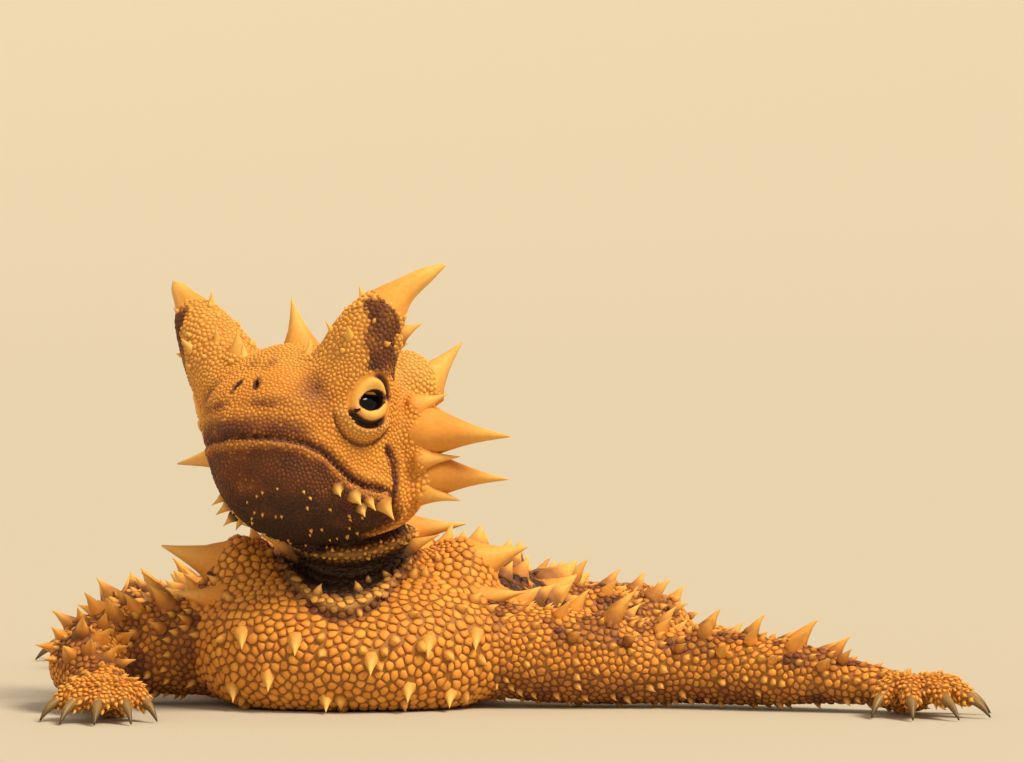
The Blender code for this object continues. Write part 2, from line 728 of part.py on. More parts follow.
def trunk_solids(grow=0.0):
    """The closed pieces of the trunk, or what stands off from it, for fitting its neighbours."""
    pieces = [trunk_loft().build("torso", 28, 14, grow * MM)]
    (x, y, z), size = SHOULDER_HUMP
    for side in (1, -1):
        centre = (x * side + SHOULDER_SHIFT, y, z)
        pieces.append(ball("hump", centre, [r + grow for r in size]))
    return pieces


def make_bodies(lofts):
    """Every node without its thorns, as closed solids."""
    made = []
    torso, *humps = trunk_solids()
    cut(fuse(torso, humps), [floor_block()])
    names = ("tail_base", "tail_middle", "tail_tip")
    tail = lengths(lofts["tail"], names, 14, (9, 9, 10), TAIL_JOINTS)
    cut(tail[0], trunk_solids(GAP / MM))
    for piece in tail:
        cut(piece, [floor_block()])
        keep_largest(piece)
    made += [torso, *tail]

    neck = lofts["neck"].build("neck", 16, 9)
    cut(neck, trunk_solids(GAP / MM) + head_cutters(GAP / MM))
    made.append(keep_largest(neck))
    knob = ball("nape_knob", NAPE_KNOB_CENTRE, NAPE_KNOB_SIZE, 16, 10)
    around = trunk_solids(GAP / MM) + head_cutters(GAP / MM)
    cut(knob, around + [lofts["neck"].build("neck_cut", 16, 9, GAP)])
    made.append(keep_largest(knob))

    pose = head_pose()
    head, jaw = head_and_jaw()
    made += [carried(head, pose), carried(jaw, pose)]
    for side, word in ((1, "left"), (-1, "right")):
        eye = ball(f"eye_{word}", sided(EYE_CENTRE, side), (EYE_RADIUS,) * 3, 16, 10)
        made.append(carried(eye, pose))
        horn = lofts[f"horn_{word}"].build(f"horn_{word}", 10, 9)
        cut(carried(horn, pose), head_cutters(GAP / MM))
        made.append(keep_largest(horn))
        front = (f"upper_arm_{word}", f"forearm_{word}", f"hand_{word}")
        made += limb(lofts[f"arm_{word}"], front, side)
        rear = (f"thigh_{word}", f"shin_{word}", f"foot_{word}")
        made += limb(lofts[f"leg_{word}"], rear, side)
    return {obj.name: obj for obj in made}


def grow_thorns(bodies, lofts):
    """Sets every thorn and tubercle on the nodes."""
    thorns = Thorns(bodies)
    shoulders = Matrix.Translation((SHOULDER_SHIFT * MM, 0, 0))
    pose = head_pose()
    thorns.pair("torso", SHOULDER_THORNS, shoulders)
    thorns.pair("neck", NECK_THORNS, shoulders)
    thorns.pair("nape_knob", KNOB_THORNS, shoulders)
    thorns.pair("head", HEAD_THORNS, pose)
    thorns.pair("head", [CROWN_THORN], pose, sides=(1,))
    thorns.pair("lower_jaw", JAW_THORNS, pose)
    thorns.pair("horn_left", HORN_THORNS, pose, sides=(1,))
    thorns.pair("horn_right", HORN_THORNS, pose, sides=(-1,))
    for mirrored in (False, True):
        for row in TRUNK_ROWS:
            thorns.row(trunk_loft(), row, mirrored, lambda share: "torso")
        for row in TAIL_ROWS:
            thorns.row(lofts["tail"], row, mirrored, tail_owner)
    for word in ("left", "right"):
        for part, upper, lower in (("arm", "upper_arm", "forearm"), ("leg", "thigh", "shin")):
            for row in LIMB_ROWS:
                def owner(share, names=(f"{upper}_{word}", f"{lower}_{word}")):
                    return names[0] if share < ELBOW else names[1]
                thorns.row(lofts[f"{part}_{word}"], row, word == "right", owner)
    for x, z in CHEST_TUBERCLES:
        start = Vector((x, -60.0, z)) * MM
        root, normal, _, _ = thorns.trees["torso"].ray_cast(start, Vector((0, 1, 0)))
        tip = root + (normal + Vector((0, 0, -0.25))) * TUBERCLE_LENGTH * MM
        thorns.grow("torso", root, tip, TUBERCLE_RADIUS * MM)
    thorns.fuse_all()


def tail_owner(share):
    """The node of the tail at a share of its length."""
    if share < TAIL_JOINTS[0]:
        return "tail_base"
    return "tail_middle" if share < TAIL_JOINTS[1] else "tail_tip"


def material(name, colour, roughness, coat=0.0):
    """A plain Principled material."""
    made = bpy.data.materials.new(name)
    made.use_nodes = True
    shader = made.node_tree.nodes["Principled BSDF"]
    shader.inputs["Base Color"].default_value = (*colour, 1.0)
    shader.inputs["Roughness"].default_value = roughness
    shader.inputs["Metallic"].default_value = 0.0
    shader.inputs["Coat Weight"].default_value = coat
    return made


def finish(bodies):
    """Gives each node its material and shows it in the model's collection."""
    looks = {
        "skin": material("scaly_skin", SKIN_COLOUR, 0.7),
        "horn": material("horn", HORN_COLOUR, 0.5),
        "eye": material("wet_eye", EYE_COLOUR, 0.1, coat=0.5),
    }
    for name, obj in bodies.items():
        look = looks.get(name.split("_")[0], looks["skin"])
        obj.name = name
        obj.data.name = name
        obj.data.materials.clear()
        obj.data.materials.append(look)
        bpy.data.collections["scratch"].objects.unlink(obj)
        bpy.data.collections["thorny_devil"].objects.link(obj)
    for obj in list(bpy.data.collections["scratch"].objects):
        bpy.data.objects.remove(obj)


def main():
    for obj in list(bpy.data.objects):
        bpy.data.objects.remove(obj)
    for name in ("thorny_devil", "scratch"):
        bpy.context.scene.collection.children.link(bpy.data.collections.new(name))
    lofts = {
        "tail": Loft(TAIL, roundness=2.0, domes=(0.0, 2.0)),
        "neck": Loft(NECK, roundness=2.0, up=(0, -1, 0)),
        "arm_left": Loft(ARM_LEFT, roundness=2.0),
        "arm_right": Loft(ARM_RIGHT, roundness=2.0),
        "leg_left": Loft(LEG_LEFT, roundness=2.0),
        "leg_right": Loft(LEG_RIGHT, roundness=2.0),
    }
    for side, word in ((1, "left"), (-1, "right")):
        rows = [(x * side, *rest) for x, *rest in HORN]
        lofts[f"horn_{word}"] = Loft(rows, roundness=2.0, up=(0, 1, 0))
    bodies = make_bodies(lofts)
    grow_thorns(bodies, lofts)
    finish(bodies)


main()
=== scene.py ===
"""Looks of a life-size thorny devil lizard, lying on its belly with its head raised and turned.

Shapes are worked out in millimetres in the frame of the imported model: +Z up, the animal facing -Y, its
left side at +X. Meshes are stored in metres.
"""

import logging
import math
import random
from collections.abc import Sequence
from dataclasses import dataclass, field
from enum import Enum

import bmesh
import bpy
import numpy as np
from mathutils import Matrix, Vector
from mathutils.bvhtree import BVHTree
from mathutils.kdtree import KDTree


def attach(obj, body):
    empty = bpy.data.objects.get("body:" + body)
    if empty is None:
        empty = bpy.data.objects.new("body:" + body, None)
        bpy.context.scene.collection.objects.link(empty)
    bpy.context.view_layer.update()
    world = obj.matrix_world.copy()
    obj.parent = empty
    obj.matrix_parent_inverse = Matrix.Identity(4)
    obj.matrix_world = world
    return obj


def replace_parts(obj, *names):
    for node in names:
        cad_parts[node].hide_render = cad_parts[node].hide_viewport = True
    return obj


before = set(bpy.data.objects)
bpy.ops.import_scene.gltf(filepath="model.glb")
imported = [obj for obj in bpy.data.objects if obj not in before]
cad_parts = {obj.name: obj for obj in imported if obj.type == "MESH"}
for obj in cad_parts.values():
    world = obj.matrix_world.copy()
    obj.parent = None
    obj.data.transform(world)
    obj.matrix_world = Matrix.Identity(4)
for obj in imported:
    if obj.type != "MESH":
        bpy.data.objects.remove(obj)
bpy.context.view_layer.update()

Array = np.ndarray
Row = tuple[float, ...]
Piece = bpy.types.Object
Tree = bpy.types.NodeTree
Socket = bpy.types.NodeSocket
log = logging.getLogger("thorny_devil")

MM = 0.001
SEED = 11
SKIN_INSET = 0.25  # how far the skin lies inside the solids, under the scales
FLOOR_CLEARANCE = 0.02
BODY = "root"


class Part(Enum):
    """Parts of the body, each with scales of its own size."""

    HEAD = 0
    HORN = 1
    NECK = 2
    TRUNK = 3
    TAIL = 4
    ARM = 5
    LEG = 6
    DIGIT = 7


def lengths(v: Array) -> Array:
    """The lengths of the rows of v."""
    return np.linalg.norm(v, axis=-1)


def unit(v: Array) -> Array:
    """The rows of v, scaled to length one."""
    return v / np.maximum(lengths(v)[..., None], 1e-12)


def ease(x: Array, low: float, high: float) -> Array:
    """Smooth step from 0 at low to 1 at high."""
    t = np.clip((x - low) / (high - low), 0.0, 1.0)
    return t * t * (3 - 2 * t)


def bell(x: Array, width: float) -> Array:
    """Bell curve, 1 at x = 0 and down to 1/e at the width."""
    return np.exp(-((x / width) ** 2))


def joined(a: Array, b: Array, width: float) -> Array:
    """Smooth union of two distances, rounded over a width."""
    h = np.clip(0.5 + 0.5 * (b - a) / width, 0.0, 1.0)
    return b * (1 - h) + a * h - width * h * (1 - h)


def carved(a: Array, b: Array, width: float) -> Array:
    """Distance a with the form of distance b taken out of it."""
    return -joined(-a, b, width)


def turns(sides: int) -> Array:
    """Even angles once round."""
    return np.arange(sides) * 2 * math.pi / sides


def strips(rings: int, sides: int) -> Array:
    """Triangles between neighbouring rings of points, ring after ring.

    Args:
        rings: How many rings there are.
        sides: Points on each ring.

    Returns:
        Indices of each triangle's corners.
    """
    k = np.arange(sides)
    n = (k + 1) % sides
    faces = []
    for ring in range(rings - 1):
        a, b = ring * sides, (ring + 1) * sides
        faces += [np.stack([a + k, a + n, b + n], 1), np.stack([a + k, b + n, b + k], 1)]
    return np.concatenate(faces)


def closed_rings(rings: int, sides: int, count: int = 1) -> Array:
    """Triangles of closed forms, each held as rings of points, then its end and its starting point.

    Args:
        rings: How many rings a form has.
        sides: Points on each ring.
        count: How many such forms follow one another.

    Returns:
        Indices of each triangle's corners.
    """
    k = np.arange(sides)
    n = (k + 1) % sides
    last = (rings - 1) * sides
    end = np.stack([last + k, last + n, np.full(sides, rings * sides)], 1)
    start = np.stack([n, k, np.full(sides, rings * sides + 1)], 1)
    one = np.concatenate([strips(rings, sides), end, start])
    first = np.arange(count) * (rings * sides + 2)
    return (one[None] + first[:, None, None]).reshape(-1, 3)


def search_tree(points: Array) -> KDTree:
    """A tree that finds the points near a place.

    Args:
        points: The places to hold.

    Returns:
        The tree, ready to search.
    """
    tree = KDTree(len(points))
    for i, p in enumerate(points):
        tree.insert(p, i)
    tree.balance()
    return tree


@dataclass
class Form:
    """A shape with a signed distance, evaluated only inside its own box."""

    width: float = field(default=1.0, kw_only=True)
    margin: float = field(default=2.6, kw_only=True)
    low: Array = field(init=False)
    high: Array = field(init=False)

    def distance(self, points: Array) -> Array:
        """Signed distance in millimetres, negative inside."""
        raise NotImplementedError

    def merge(self, value: Array, points: Array) -> Array:
        """The body's distance once this form is joined to it."""
        return joined(value, self.distance(points), self.width)

    def near(self, points: Array, margin: float) -> Array:
        """Indices of the points within a margin of the form's box."""
        return np.flatnonzero(np.all((points > self.low - margin) & (points < self.high + margin), axis=1))


@dataclass
class Tube(Form):
    """Rounded sections set along a smooth line.

    The line, and each section's half width, height above and depth below the line, are cubic curves
    through the stations. A section is a superellipse whose power is the roundness. A cap is the length
    over which an end is rounded off inside the tube.
    """

    stations: Sequence[Row]
    roundness: float = 2.0
    caps: tuple[float, float] = (0.0, 0.0)
    up: tuple[float, float, float] = (0.0, 0.0, 1.0)
    inset: float = SKIN_INSET
    samples: int = 72

    def __post_init__(self) -> None:
        """Tabulates the line, its axes and the sections' sizes at even steps."""
        rows = np.array(self.stations, float)
        self.line, self.sizes = rows[:, :3], rows[:, 3:]
        steps = lengths(np.diff(self.line, axis=0))
        self.knots = np.concatenate([[0.0], np.cumsum(steps)])
        self.length = float(self.knots[-1])
        at = np.linspace(0.0, self.length, self.samples)
        centre, tangent, side, upright = self.axes(at)
        size = np.maximum(self.between(self.sizes, at) - self.inset, 0.05)
        self.table = np.concatenate([centre, tangent, side, upright, size], axis=1)
        reach = size.max() + 0.5
        self.low = centre.min(0) - reach
        self.high = centre.max(0) + reach

    def between(self, values: Array, s: Array) -> Array:
        """Cubic curve through the stations' values, read at the lengths s.

        Args:
            values: One row for each station.
            s: Lengths along the line.

        Returns:
            One row for each length.
        """
        knots = self.knots
        slopes = np.gradient(values, knots, axis=0)
        i = np.clip(np.searchsorted(knots, s, side="right") - 1, 0, len(knots) - 2)
        span = (knots[i + 1] - knots[i])[:, None]
        u = (s - knots[i])[:, None] / span
        start = (2 * u**3 - 3 * u**2 + 1) * values[i] + (u**3 - 2 * u**2 + u) * span * slopes[i]
        end = (3 * u**2 - 2 * u**3) * values[i + 1] + (u**3 - u**2) * span * slopes[i + 1]
        return start + end

    def axes(self, s: Array) -> tuple[Array, Array, Array, Array]:
        """Centre, tangent, side and upright axis at the lengths s.

        Args:
            s: Lengths along the line.

        Returns:
            Four arrays with one row for each length.
        """
        ahead = self.between(self.line, np.minimum(s + 0.2, self.length))
        behind = self.between(self.line, np.maximum(s - 0.2, 0.0))
        tangent = unit(ahead - behind)
        side = unit(np.cross(tangent, self.up))
        return self.between(self.line, s), tangent, side, np.cross(side, tangent)

    def locate(self, points: Array) -> tuple[Array, Array, Array, Array]:
        """Length along the line, place across and up in the section, and the table's rows there.

        Args:
            points: Points in millimetres.

        Returns:
            Four arrays with one entry for each point.
        """
        centre, tangent = self.table[:, :3], self.table[:, 3:6]
        nearest = np.concatenate([
            ((centre**2).sum(1) - 2 * block @ centre.T).argmin(1)
            for block in np.array_split(points, len(points) // 40000 + 1)
        ])
        step = self.length / (self.samples - 1)
        s = nearest * step + ((points - centre[nearest]) * tangent[nearest]).sum(1)
        at = np.clip(s / step, 0.0, self.samples - 1.001)
        i = at.astype(int)
        share = (at - i)[:, None]
        row = self.table[i] * (1 - share) + self.table[i + 1] * share
        offset = points - row[:, :3]
        return s, (offset * row[:, 6:9]).sum(1), (offset * row[:, 9:12]).sum(1), row

    def distance(self, points: Array) -> Array:
        """Distance along the ray from the line, with both ends rounded off.

        Args:
            points: Points in millimetres.

        Returns:
            Signed distance in millimetres, negative inside.
        """
        s, x, y, row = self.locate(points)
        width = row[:, 12]
        height = np.where(y > 0, row[:, 13], row[:, 14])
        power = self.roundness
        across = (np.abs(x / width) ** power + np.abs(y / height) ** power) ** (1 / power)
        mean = (width + height) / 2
        start = self.caps[0] or mean
        end = self.caps[1] or mean
        before = np.maximum(self.caps[0] - s, 0.0)
        after = np.maximum(s - (self.length - self.caps[1]), 0.0)
        beyond = before / start + after / end
        ratio = np.maximum(np.sqrt(across**2 + beyond**2), 1e-3)
        length = np.sqrt(x**2 + y**2 + (before + after) ** 2)
        return length * (1 - 1 / ratio)

    def points(self, s: Array, angles: Array) -> Array:
        """Points of the outer surface at the lengths s and the angles round it.

        Args:
            s: Lengths along the line.
            angles: Angles from the side axis, in radians.

        Returns:
            One point for each length and angle.
        """
        s, angles = np.broadcast_arrays(np.asarray(s, float), np.asarray(angles, float))
        centre, _, side, upright = self.axes(s)
        size = self.between(self.sizes, s) * self.swell(s)
        power = 2 / self.roundness
        cosine, sine = np.cos(angles), np.sin(angles)
        height = np.where(sine > 0, size[:, 1], size[:, 2]) * np.sign(sine) * np.abs(sine) ** power
        across = size[:, 0] * np.sign(cosine) * np.abs(cosine) ** power
        return centre + across[:, None] * side + height[:, None] * upright

    def swell(self, s: Array) -> Array:
        """Factor on a section's size that rounds off a capped end.

        Args:
            s: Lengths along the line.

        Returns:
            A column with one factor for each length.
        """
        factor = np.ones_like(s)
        for reach, depth in zip(self.caps, (s, self.length - s)):
            if reach:
                factor *= np.sqrt(1 - np.clip(1 - depth / reach, 0, 1) ** 2)
        return factor[:, None]

    def place(self, share: float, degrees: float) -> tuple[Array, Array, Array]:
        """Point, outward normal and tangent at a share of the length and an angle round it.

        Args:
            share: Share of the tube's length.
            degrees: Angle from the side axis.

        Returns:
            The point, the normal and the tangent.
        """
        s, angle = share * self.length, math.radians(degrees)
        p = self.points(
            np.array([s, s, s - 0.3, s + 0.3, s]),
            np.array([angle - 0.04, angle + 0.04, angle, angle, angle]),
        )
        centre, tangent, _, _ = self.axes(np.array([s]))
        normal = unit(np.cross(p[1] - p[0], p[3] - p[2]))
        if normal @ (p[4] - centre[0]) < 0:
            normal = -normal
        return p[4], normal, tangent[0]


@dataclass
class Ball(Form):
    """An ellipsoid from its centre and half sizes."""

    centre: Row
    size: Row
    inset: float = SKIN_INSET

    def __post_init__(self) -> None:
        """Works out the half sizes under the scales, and the box."""
        self.radii = np.array(self.size) - self.inset
        self.low = np.array(self.centre) - self.radii
        self.high = np.array(self.centre) + self.radii

    def distance(self, points: Array) -> Array:
        """Distance along the ray from the centre."""
        offset = points - np.array(self.centre)
        ratio = np.maximum(lengths(offset / self.radii), 1e-3)
        return lengths(offset) * (1 - 1 / ratio)


@dataclass
class Stub(Form):
    """The fleshy foot of a spike: a cone with rounded ends, from its root part way to its tip."""

    root: Array
    tip: Array
    radius: float
    share: float = 0.3

    def __post_init__(self) -> None:
        """Works out the axis, the height and the box."""
        reach = self.radius * 1.3
        self.axis = unit(self.tip - self.root)
        self.height = float(np.linalg.norm(self.tip - self.root)) * self.share
        ends = np.stack([self.root, self.root + self.axis * self.height])
        self.low, self.high = ends.min(0) - reach, ends.max(0) + reach

    def distance(self, points: Array) -> Array:
        """Distance to a line whose thickness falls from root to top."""
        offset = points - self.root
        t = np.clip(offset @ self.axis / self.height, 0.0, 1.0)
        radius = self.radius * (1.05 - 0.62 * t)
        return lengths(offset - np.outer(t * self.height, self.axis)) - radius


@dataclass
class Pose:
    """A frame of its own: an origin in millimetres and three unit axes, one to a row."""

    origin: Row
    yaw: float
    lift: float
    roll: float

    def __post_init__(self) -> None:
        """Turns the axes by roll, then lift, then yaw."""
        turn = Matrix.Rotation(math.radians(-self.yaw), 3, "Z")
        turn = turn @ Matrix.Rotation(math.radians(-self.lift), 3, "X")
        turn = turn @ Matrix.Rotation(math.radians(-self.roll), 3, "Y")
        self.axes = np.array(turn).T

    def inward(self, points: Array) -> Array:
        """Points of the animal's frame in this one."""
        return (points - np.array(self.origin)) @ self.axes.T

    def outward(self, points: Array) -> Array:
        """Points of this frame in the animal's."""
        return points @ self.axes + np.array(self.origin)


@dataclass
class Eye:
    """One eye in the head's frame, on its left: ball, opening and the folds of the lids."""

    centre: Row = (6.6, -3.2, 1.6)
    axis: Row = (0.90, -0.40, 0.15)
    radius: float = 2.42
    lid: float = 2.82
    opening: tuple[float, float] = (1.2, 0.8)
    tilt: float = -20.0
    crescent: float = 1.88
    fold: float = 2.5
    last_line: float = 3.1

    def __post_init__(self) -> None:
        """Works out the axes across, up and along the eye."""
        a = unit(np.array(self.axis))
        side = unit(np.cross(a, (0.0, 0.0, 1.0)))
        self.frame = np.stack([side, np.cross(side, a), a])

    def flat(self, local: Array) -> tuple[Array, Array, Array]:
        """Place across, up and along the eye's axis; across grows towards the snout."""
        e = (local - np.array(self.centre)) @ self.frame.T
        return e[:, 0], e[:, 1], e[:, 2]

    def opening_distance(self, local: Array) -> Array:
        """Distance to the tilted oval well between the lids.

        Args:
            local: Points in the head's frame.

        Returns:
            Signed distance in millimetres, negative inside.
        """
        across, up, along = self.flat(local)
        turn = math.radians(self.tilt)
        x = across * math.cos(turn) + up * math.sin(turn)
        y = up * math.cos(turn) - across * math.sin(turn)
        ratio = np.sqrt((x / self.opening[0]) ** 2 + (y / self.opening[1]) ** 2)
        oval = np.hypot(x, y) * (1 - 1 / np.maximum(ratio, 1e-3))
        return np.maximum(oval, 1.55 - along)

    def reach(self, local: Array) -> Array:
        """Distance from the eye's axis, and far where the point is behind the eye."""
        across, up, along = self.flat(local)
        return np.where(along > 0, np.hypot(across, up), 9.0)

    def folds(self, local: Array) -> Array:
        """Rim, crescent, outer fold and last thin line, as heights taken from the distance.

        Args:
            local: Points in the head's frame.

        Returns:
            Millimetres to add to the distance, negative where the skin is raised.
        """
        across, up, along = self.flat(local)
        r = np.hypot(across, up)
        below = ease(-up, 0.6, 1.5)
        behind = ease(up, 0.2, 1.0) * ease(-across, -0.9, 0.4)
        front = (along > 0) * 1.0
        rim = -0.17 * bell(r - 1.3, 0.38)
        groove = (0.42 * below + 0.26 * behind + 0.06) * bell(r - self.crescent, 0.22)
        fold = -0.22 * below * bell(r - self.fold, 0.36)
        line = 0.14 * below * bell(r - self.last_line, 0.14)
        return (rim + groove + fold + line) * front

    def dark(self, local: Array) -> Array:
        """Painted shade in the creases round the eye, deepest below it, and inside its opening, from 0 to 1.

        Args:
            local: Points in the head's frame.

        Returns:
            The amount at each point.
        """
        across, up, along = self.flat(local)
        r = np.hypot(across, up)
        below = ease(-up, 0.6, 1.4)
        behind = ease(up, 0.1, 0.9) * ease(-across, -0.9, 0.3)
        # Painted shade in the crescent groove and in the last line below the eye.
        amount = (1.2 * below + 0.8 * behind + 0.15) * bell(r - self.crescent, 0.34)
        amount += 0.6 * below * bell(r - self.last_line, 0.2)
        # Painted shade on the walls inside the eye's opening.
        amount += 1 - ease(self.opening_distance(local), 0.0, 0.14)
        return np.clip(amount, 0, 1) * (along > 0)

    def pale(self, local: Array) -> Array:
        """Cream of the rim and of the fold below it, from 0 to 1."""
        across, up, along = self.flat(local)
        r = np.hypot(across, up)
        amount = 1 - ease(r, 1.5, 1.86) + 0.5 * ease(-up, -0.2, 1.0) * bell(r - self.fold, 0.4)
        return np.clip(amount, 0, 1) * (along > 0)


@dataclass
class Head(Form):
    """The head in its own frame: x to its left, y to its back, z to its crown."""

    pose: Pose
    skull: Tube
    horn: Tube
    eye: Eye
    mouth: Sequence[Row]
    brow: Ball = field(default_factory=lambda: Ball((5.4, -2.8, 3.6), (4.0, 4.6, 3.8), width=1.6))
    cheek: Ball = field(default_factory=lambda: Ball((6.2, 2.8, -3.6), (3.8, 4.6, 3.6), width=1.8))
    lip: Ball = field(default_factory=lambda: Ball((0.0, -7.5, -2.5), (5.1, 3.8, 1.1), width=0.8))
    forehead: Ball = field(default_factory=lambda: Ball((-0.3, -3.8, 3.6), (5.4, 4.6, 4.2), width=1.4))
    temple: Ball = field(default_factory=lambda: Ball((6.5, 3.2, 5.6), (3.0, 2.9, 2.9), width=1.6))
    taper: float = 0.17
    bare_point: float = 0.64
    nostril: tuple[float, float] = (1.0, 2.7)
    ear: Row = (9.2, 5.2, 0.9)
    ear_size: Row = (1.5, 0.6, 0.8)
    crease: Sequence[Row] = (
        (-0.2, -1.0), (0.6, -1.9), (1.1, -3.4), (1.5, -5.3), (2.4, -6.8), (2.9, -9.0), (2.9, -14.0),
    )
    bark_taper: float = 0.14
    lean: Row = (-0.95, 0.0, 0.8)  # how far the right horn's tip leans from the left one's mirror place

    def __post_init__(self) -> None:
        """Works out the box, the drawn lines, the lids and the scaly foot of the horn."""
        reach = np.array([[x, y, z] for x in (-14, 14) for y in (-14, 13) for z in (-11, 12)], float)
        corners = self.pose.outward(reach)
        self.low, self.high = corners.min(0), corners.max(0)
        self.mouth_line = self.drawn(self.mouth)
        self.crease_line = self.drawn(self.crease)
        self.lids = Ball(self.eye.centre, (self.eye.lid,) * 3, inset=0.0, width=0.7)
        steps = np.linspace(0.0, 1.0, 5)
        at = np.linspace(0.0, self.bare_point, 5) * self.horn.length
        sizes = self.horn.between(self.horn.sizes, at) * (1 - self.bark_taper * steps**2)[:, None]
        rows = np.concatenate([self.horn.axes(at)[0], sizes], axis=1)
        self.bark = Tube(rows, caps=(0.0, 1.3), up=(0, 1, 0), inset=0.3, width=1.2)

    def drawn(self, rows: Sequence[Row]) -> Array:
        """Points of a smooth line through places on the side of the head."""
        return Tube([(0.0, y, z, 1.0, 1.0, 1.0) for y, z in rows], samples=60).table[:, 1:3]

    def leaning(self, local: Array, outward: float) -> Array:
        """Points of the right side moved with its horn, which leans out further than the left one.

        Args:
            local: Points in the head's frame.
            outward: 1 to lean them out, -1 to bring them back.

        Returns:
            The points, moved the more the higher they are.
        """
        share = ease(local[:, 2], 5.0, 13.0) * ease(-local[:, 0], 3.0, 6.0) * outward
        return local + share[:, None] * np.array(self.lean)

    def halves(self, points: Array) -> tuple[Array, Array]:
        """Points in the head's frame, and the same with the right side laid on the left."""
        local = self.leaning(self.pose.inward(points), -1.0)
        half = local.copy()
        half[:, 0] = np.abs(half[:, 0])
        return local, half

    def line_distance(self, local: Array, line: Array) -> Array:
        """Distance to a line drawn on the side of the head, seen from the side."""
        offset = local[:, None, 1:3] - line[None]
        return np.sqrt((offset**2).sum(2).min(1))

    def narrowed(self, local: Array) -> Array:
        """Points spread sideways, the more the lower they are, which narrows the jaw."""
        spread = local.copy()
        spread[:, 0] *= 1 + self.taper * ease(-local[:, 2], -2.0, 3.5)
        return spread

    def nostril_reach(self, half: Array) -> Array:
        """Distance from the middle of a nostril's slanting slit, seen from the front."""
        x, z = half[:, 0] - self.nostril[0], half[:, 2] - self.nostril[1]
        reach = np.hypot((x + 0.5 * z) / 0.6, (z - 0.5 * x) / 1.3)
        return np.where(half[:, 1] < -6.5, reach, 9.0)

    def ear_reach(self, half: Array) -> Array:
        """Distance from the middle of the ear's hollow, scaled to its size."""
        return lengths((half - np.array(self.ear)) / np.array(self.ear_size))

    def distance(self, points: Array) -> Array:
        """Skull, brow, cheek, lips, lids and the foot of the horn, less the openings.

        Args:
            points: Points in millimetres.

        Returns:
            Signed distance in millimetres, negative inside.
        """
        local, half = self.halves(points)
        value = self.skull.distance(self.narrowed(local))
        for form, at in ((self.brow, half), (self.cheek, self.narrowed(half)), (self.forehead, local),
                         (self.temple, half), (self.lip, local), (self.bark, half), (self.lids, half)):
            value = form.merge(value, at)
        value = value + self.eye.folds(half)
        seam = self.line_distance(local, self.mouth_line)
        value = value + 0.5 * bell(seam, 0.26) - 0.14 * bell(seam - 0.75, 0.35)
        crease = 0.5 * bell(self.line_distance(local, self.crease_line), 0.3)
        value = value + crease * ease(-local[:, 2], 0.4, 1.4)
        value = carved(value, self.eye.opening_distance(half), 0.12)
        value = carved(value, 0.5 * (self.nostril_reach(half) - 0.42), 0.12)
        return value + 0.5 * bell(self.ear_reach(half), 0.8)

    def stripe(self, half: Array) -> Array:
        """The brown stripe that runs from the eye up the outer face of the horn.

        Args:
            half: Points in the head's frame, all laid on its left.

        Returns:
            Its strength, from 0 to 1.
        """
        x, y, z = half.T
        axis = np.stack([np.interp(z, self.horn.line[:, 2], self.horn.line[:, i]) for i in (0, 1)], 1)
        facing = (half[:, :2] - axis) @ np.array([0.588, -0.809])
        across = np.abs(0.8177 * x + 0.57 * y + 0.0783 * z - 6.0 + 0.25 * np.sin(2.1 * z))
        band = 1 - ease(across, 1.15, 1.6)
        return band * ease(facing, -0.4, 0.6) * ease(z, 4.0, 4.6) * (1 - ease(z, 10.0, 11.2))

    def markings(self, points: Array) -> tuple[Array, Array]:
        """Amounts of brown, with painted shade, and of cream at points of the head.

        Args:
            points: Points in millimetres.

        Returns:
            Brown with painted shade, and cream, from 0 to 1.
        """
        local, half = self.halves(points)
        x, y, z = half.T
        mottle = 0.14 * np.sin(1.7 * x + 0.6) * np.sin(1.3 * y) * np.sin(1.5 * z + 1.0)
        seam = self.line_distance(local, self.mouth_line)
        crease = self.line_distance(local, self.crease_line)
        # Below the mouth line the jaw is partly brown and partly painted shade.
        under_lip_brown_and_shade = ease(np.interp(y, self.mouth_line[:, 0], self.mouth_line[:, 1]) - z, 0.0, 1.4)
        muzzle = bell(z + 1.5, 1.3) * ease(-y, 5.5, 8.5) * (1 - ease(x, 4.6, 6.6))
        smudge = bell(x - 2.6, 2.6) * bell(z - 0.9, 0.7) * ease(-y, 6.0, 8.0)
        before_eye = bell(x - 5.2, 1.5) * bell(y + 7.0, 2.0) * bell(z - 2.2, 2.1)
        dark = np.maximum.reduce([
            (0.72 + mottle) * self.stripe(half),
            # Painted shade round the eyes and inside their openings.
            self.eye.dark(half),
            0.95 * bell(seam, 0.4) * (1 - ease(y, 1.5, 3.0)),
            (0.62 + mottle) * under_lip_brown_and_shade * (1 - ease(y, 1.0, 3.0)),
            # Painted shadow under the chin, full at the bottom of the head.
            (0.88 + mottle) * ease(-z, 4.8, 6.8) * (1 - ease(y, 2.2, 4.0)),
            ease(-z, 7.4, 8.0),
            # Painted shade in the crease behind the jaw.
            0.9 * bell(crease, 0.36) * ease(-z, 0.3, 1.2),
            (0.62 + mottle) * muzzle,
            (0.42 + mottle) * smudge,
            (0.6 + mottle) * before_eye,
            0.45 * bell(x - 0.9, 0.9) * bell(z - 5.0, 0.8) * ease(-y, 3.0, 5.0),
            # Painted shade in the ear's hollow and in the nostril pits.
            0.9 * (1 - ease(self.ear_reach(half), 0.7, 1.3)),
            0.9 * (1 - ease(self.nostril_reach(half), 0.35, 0.75)),
        ])
        temple = lengths(half - np.array(self.temple.centre))
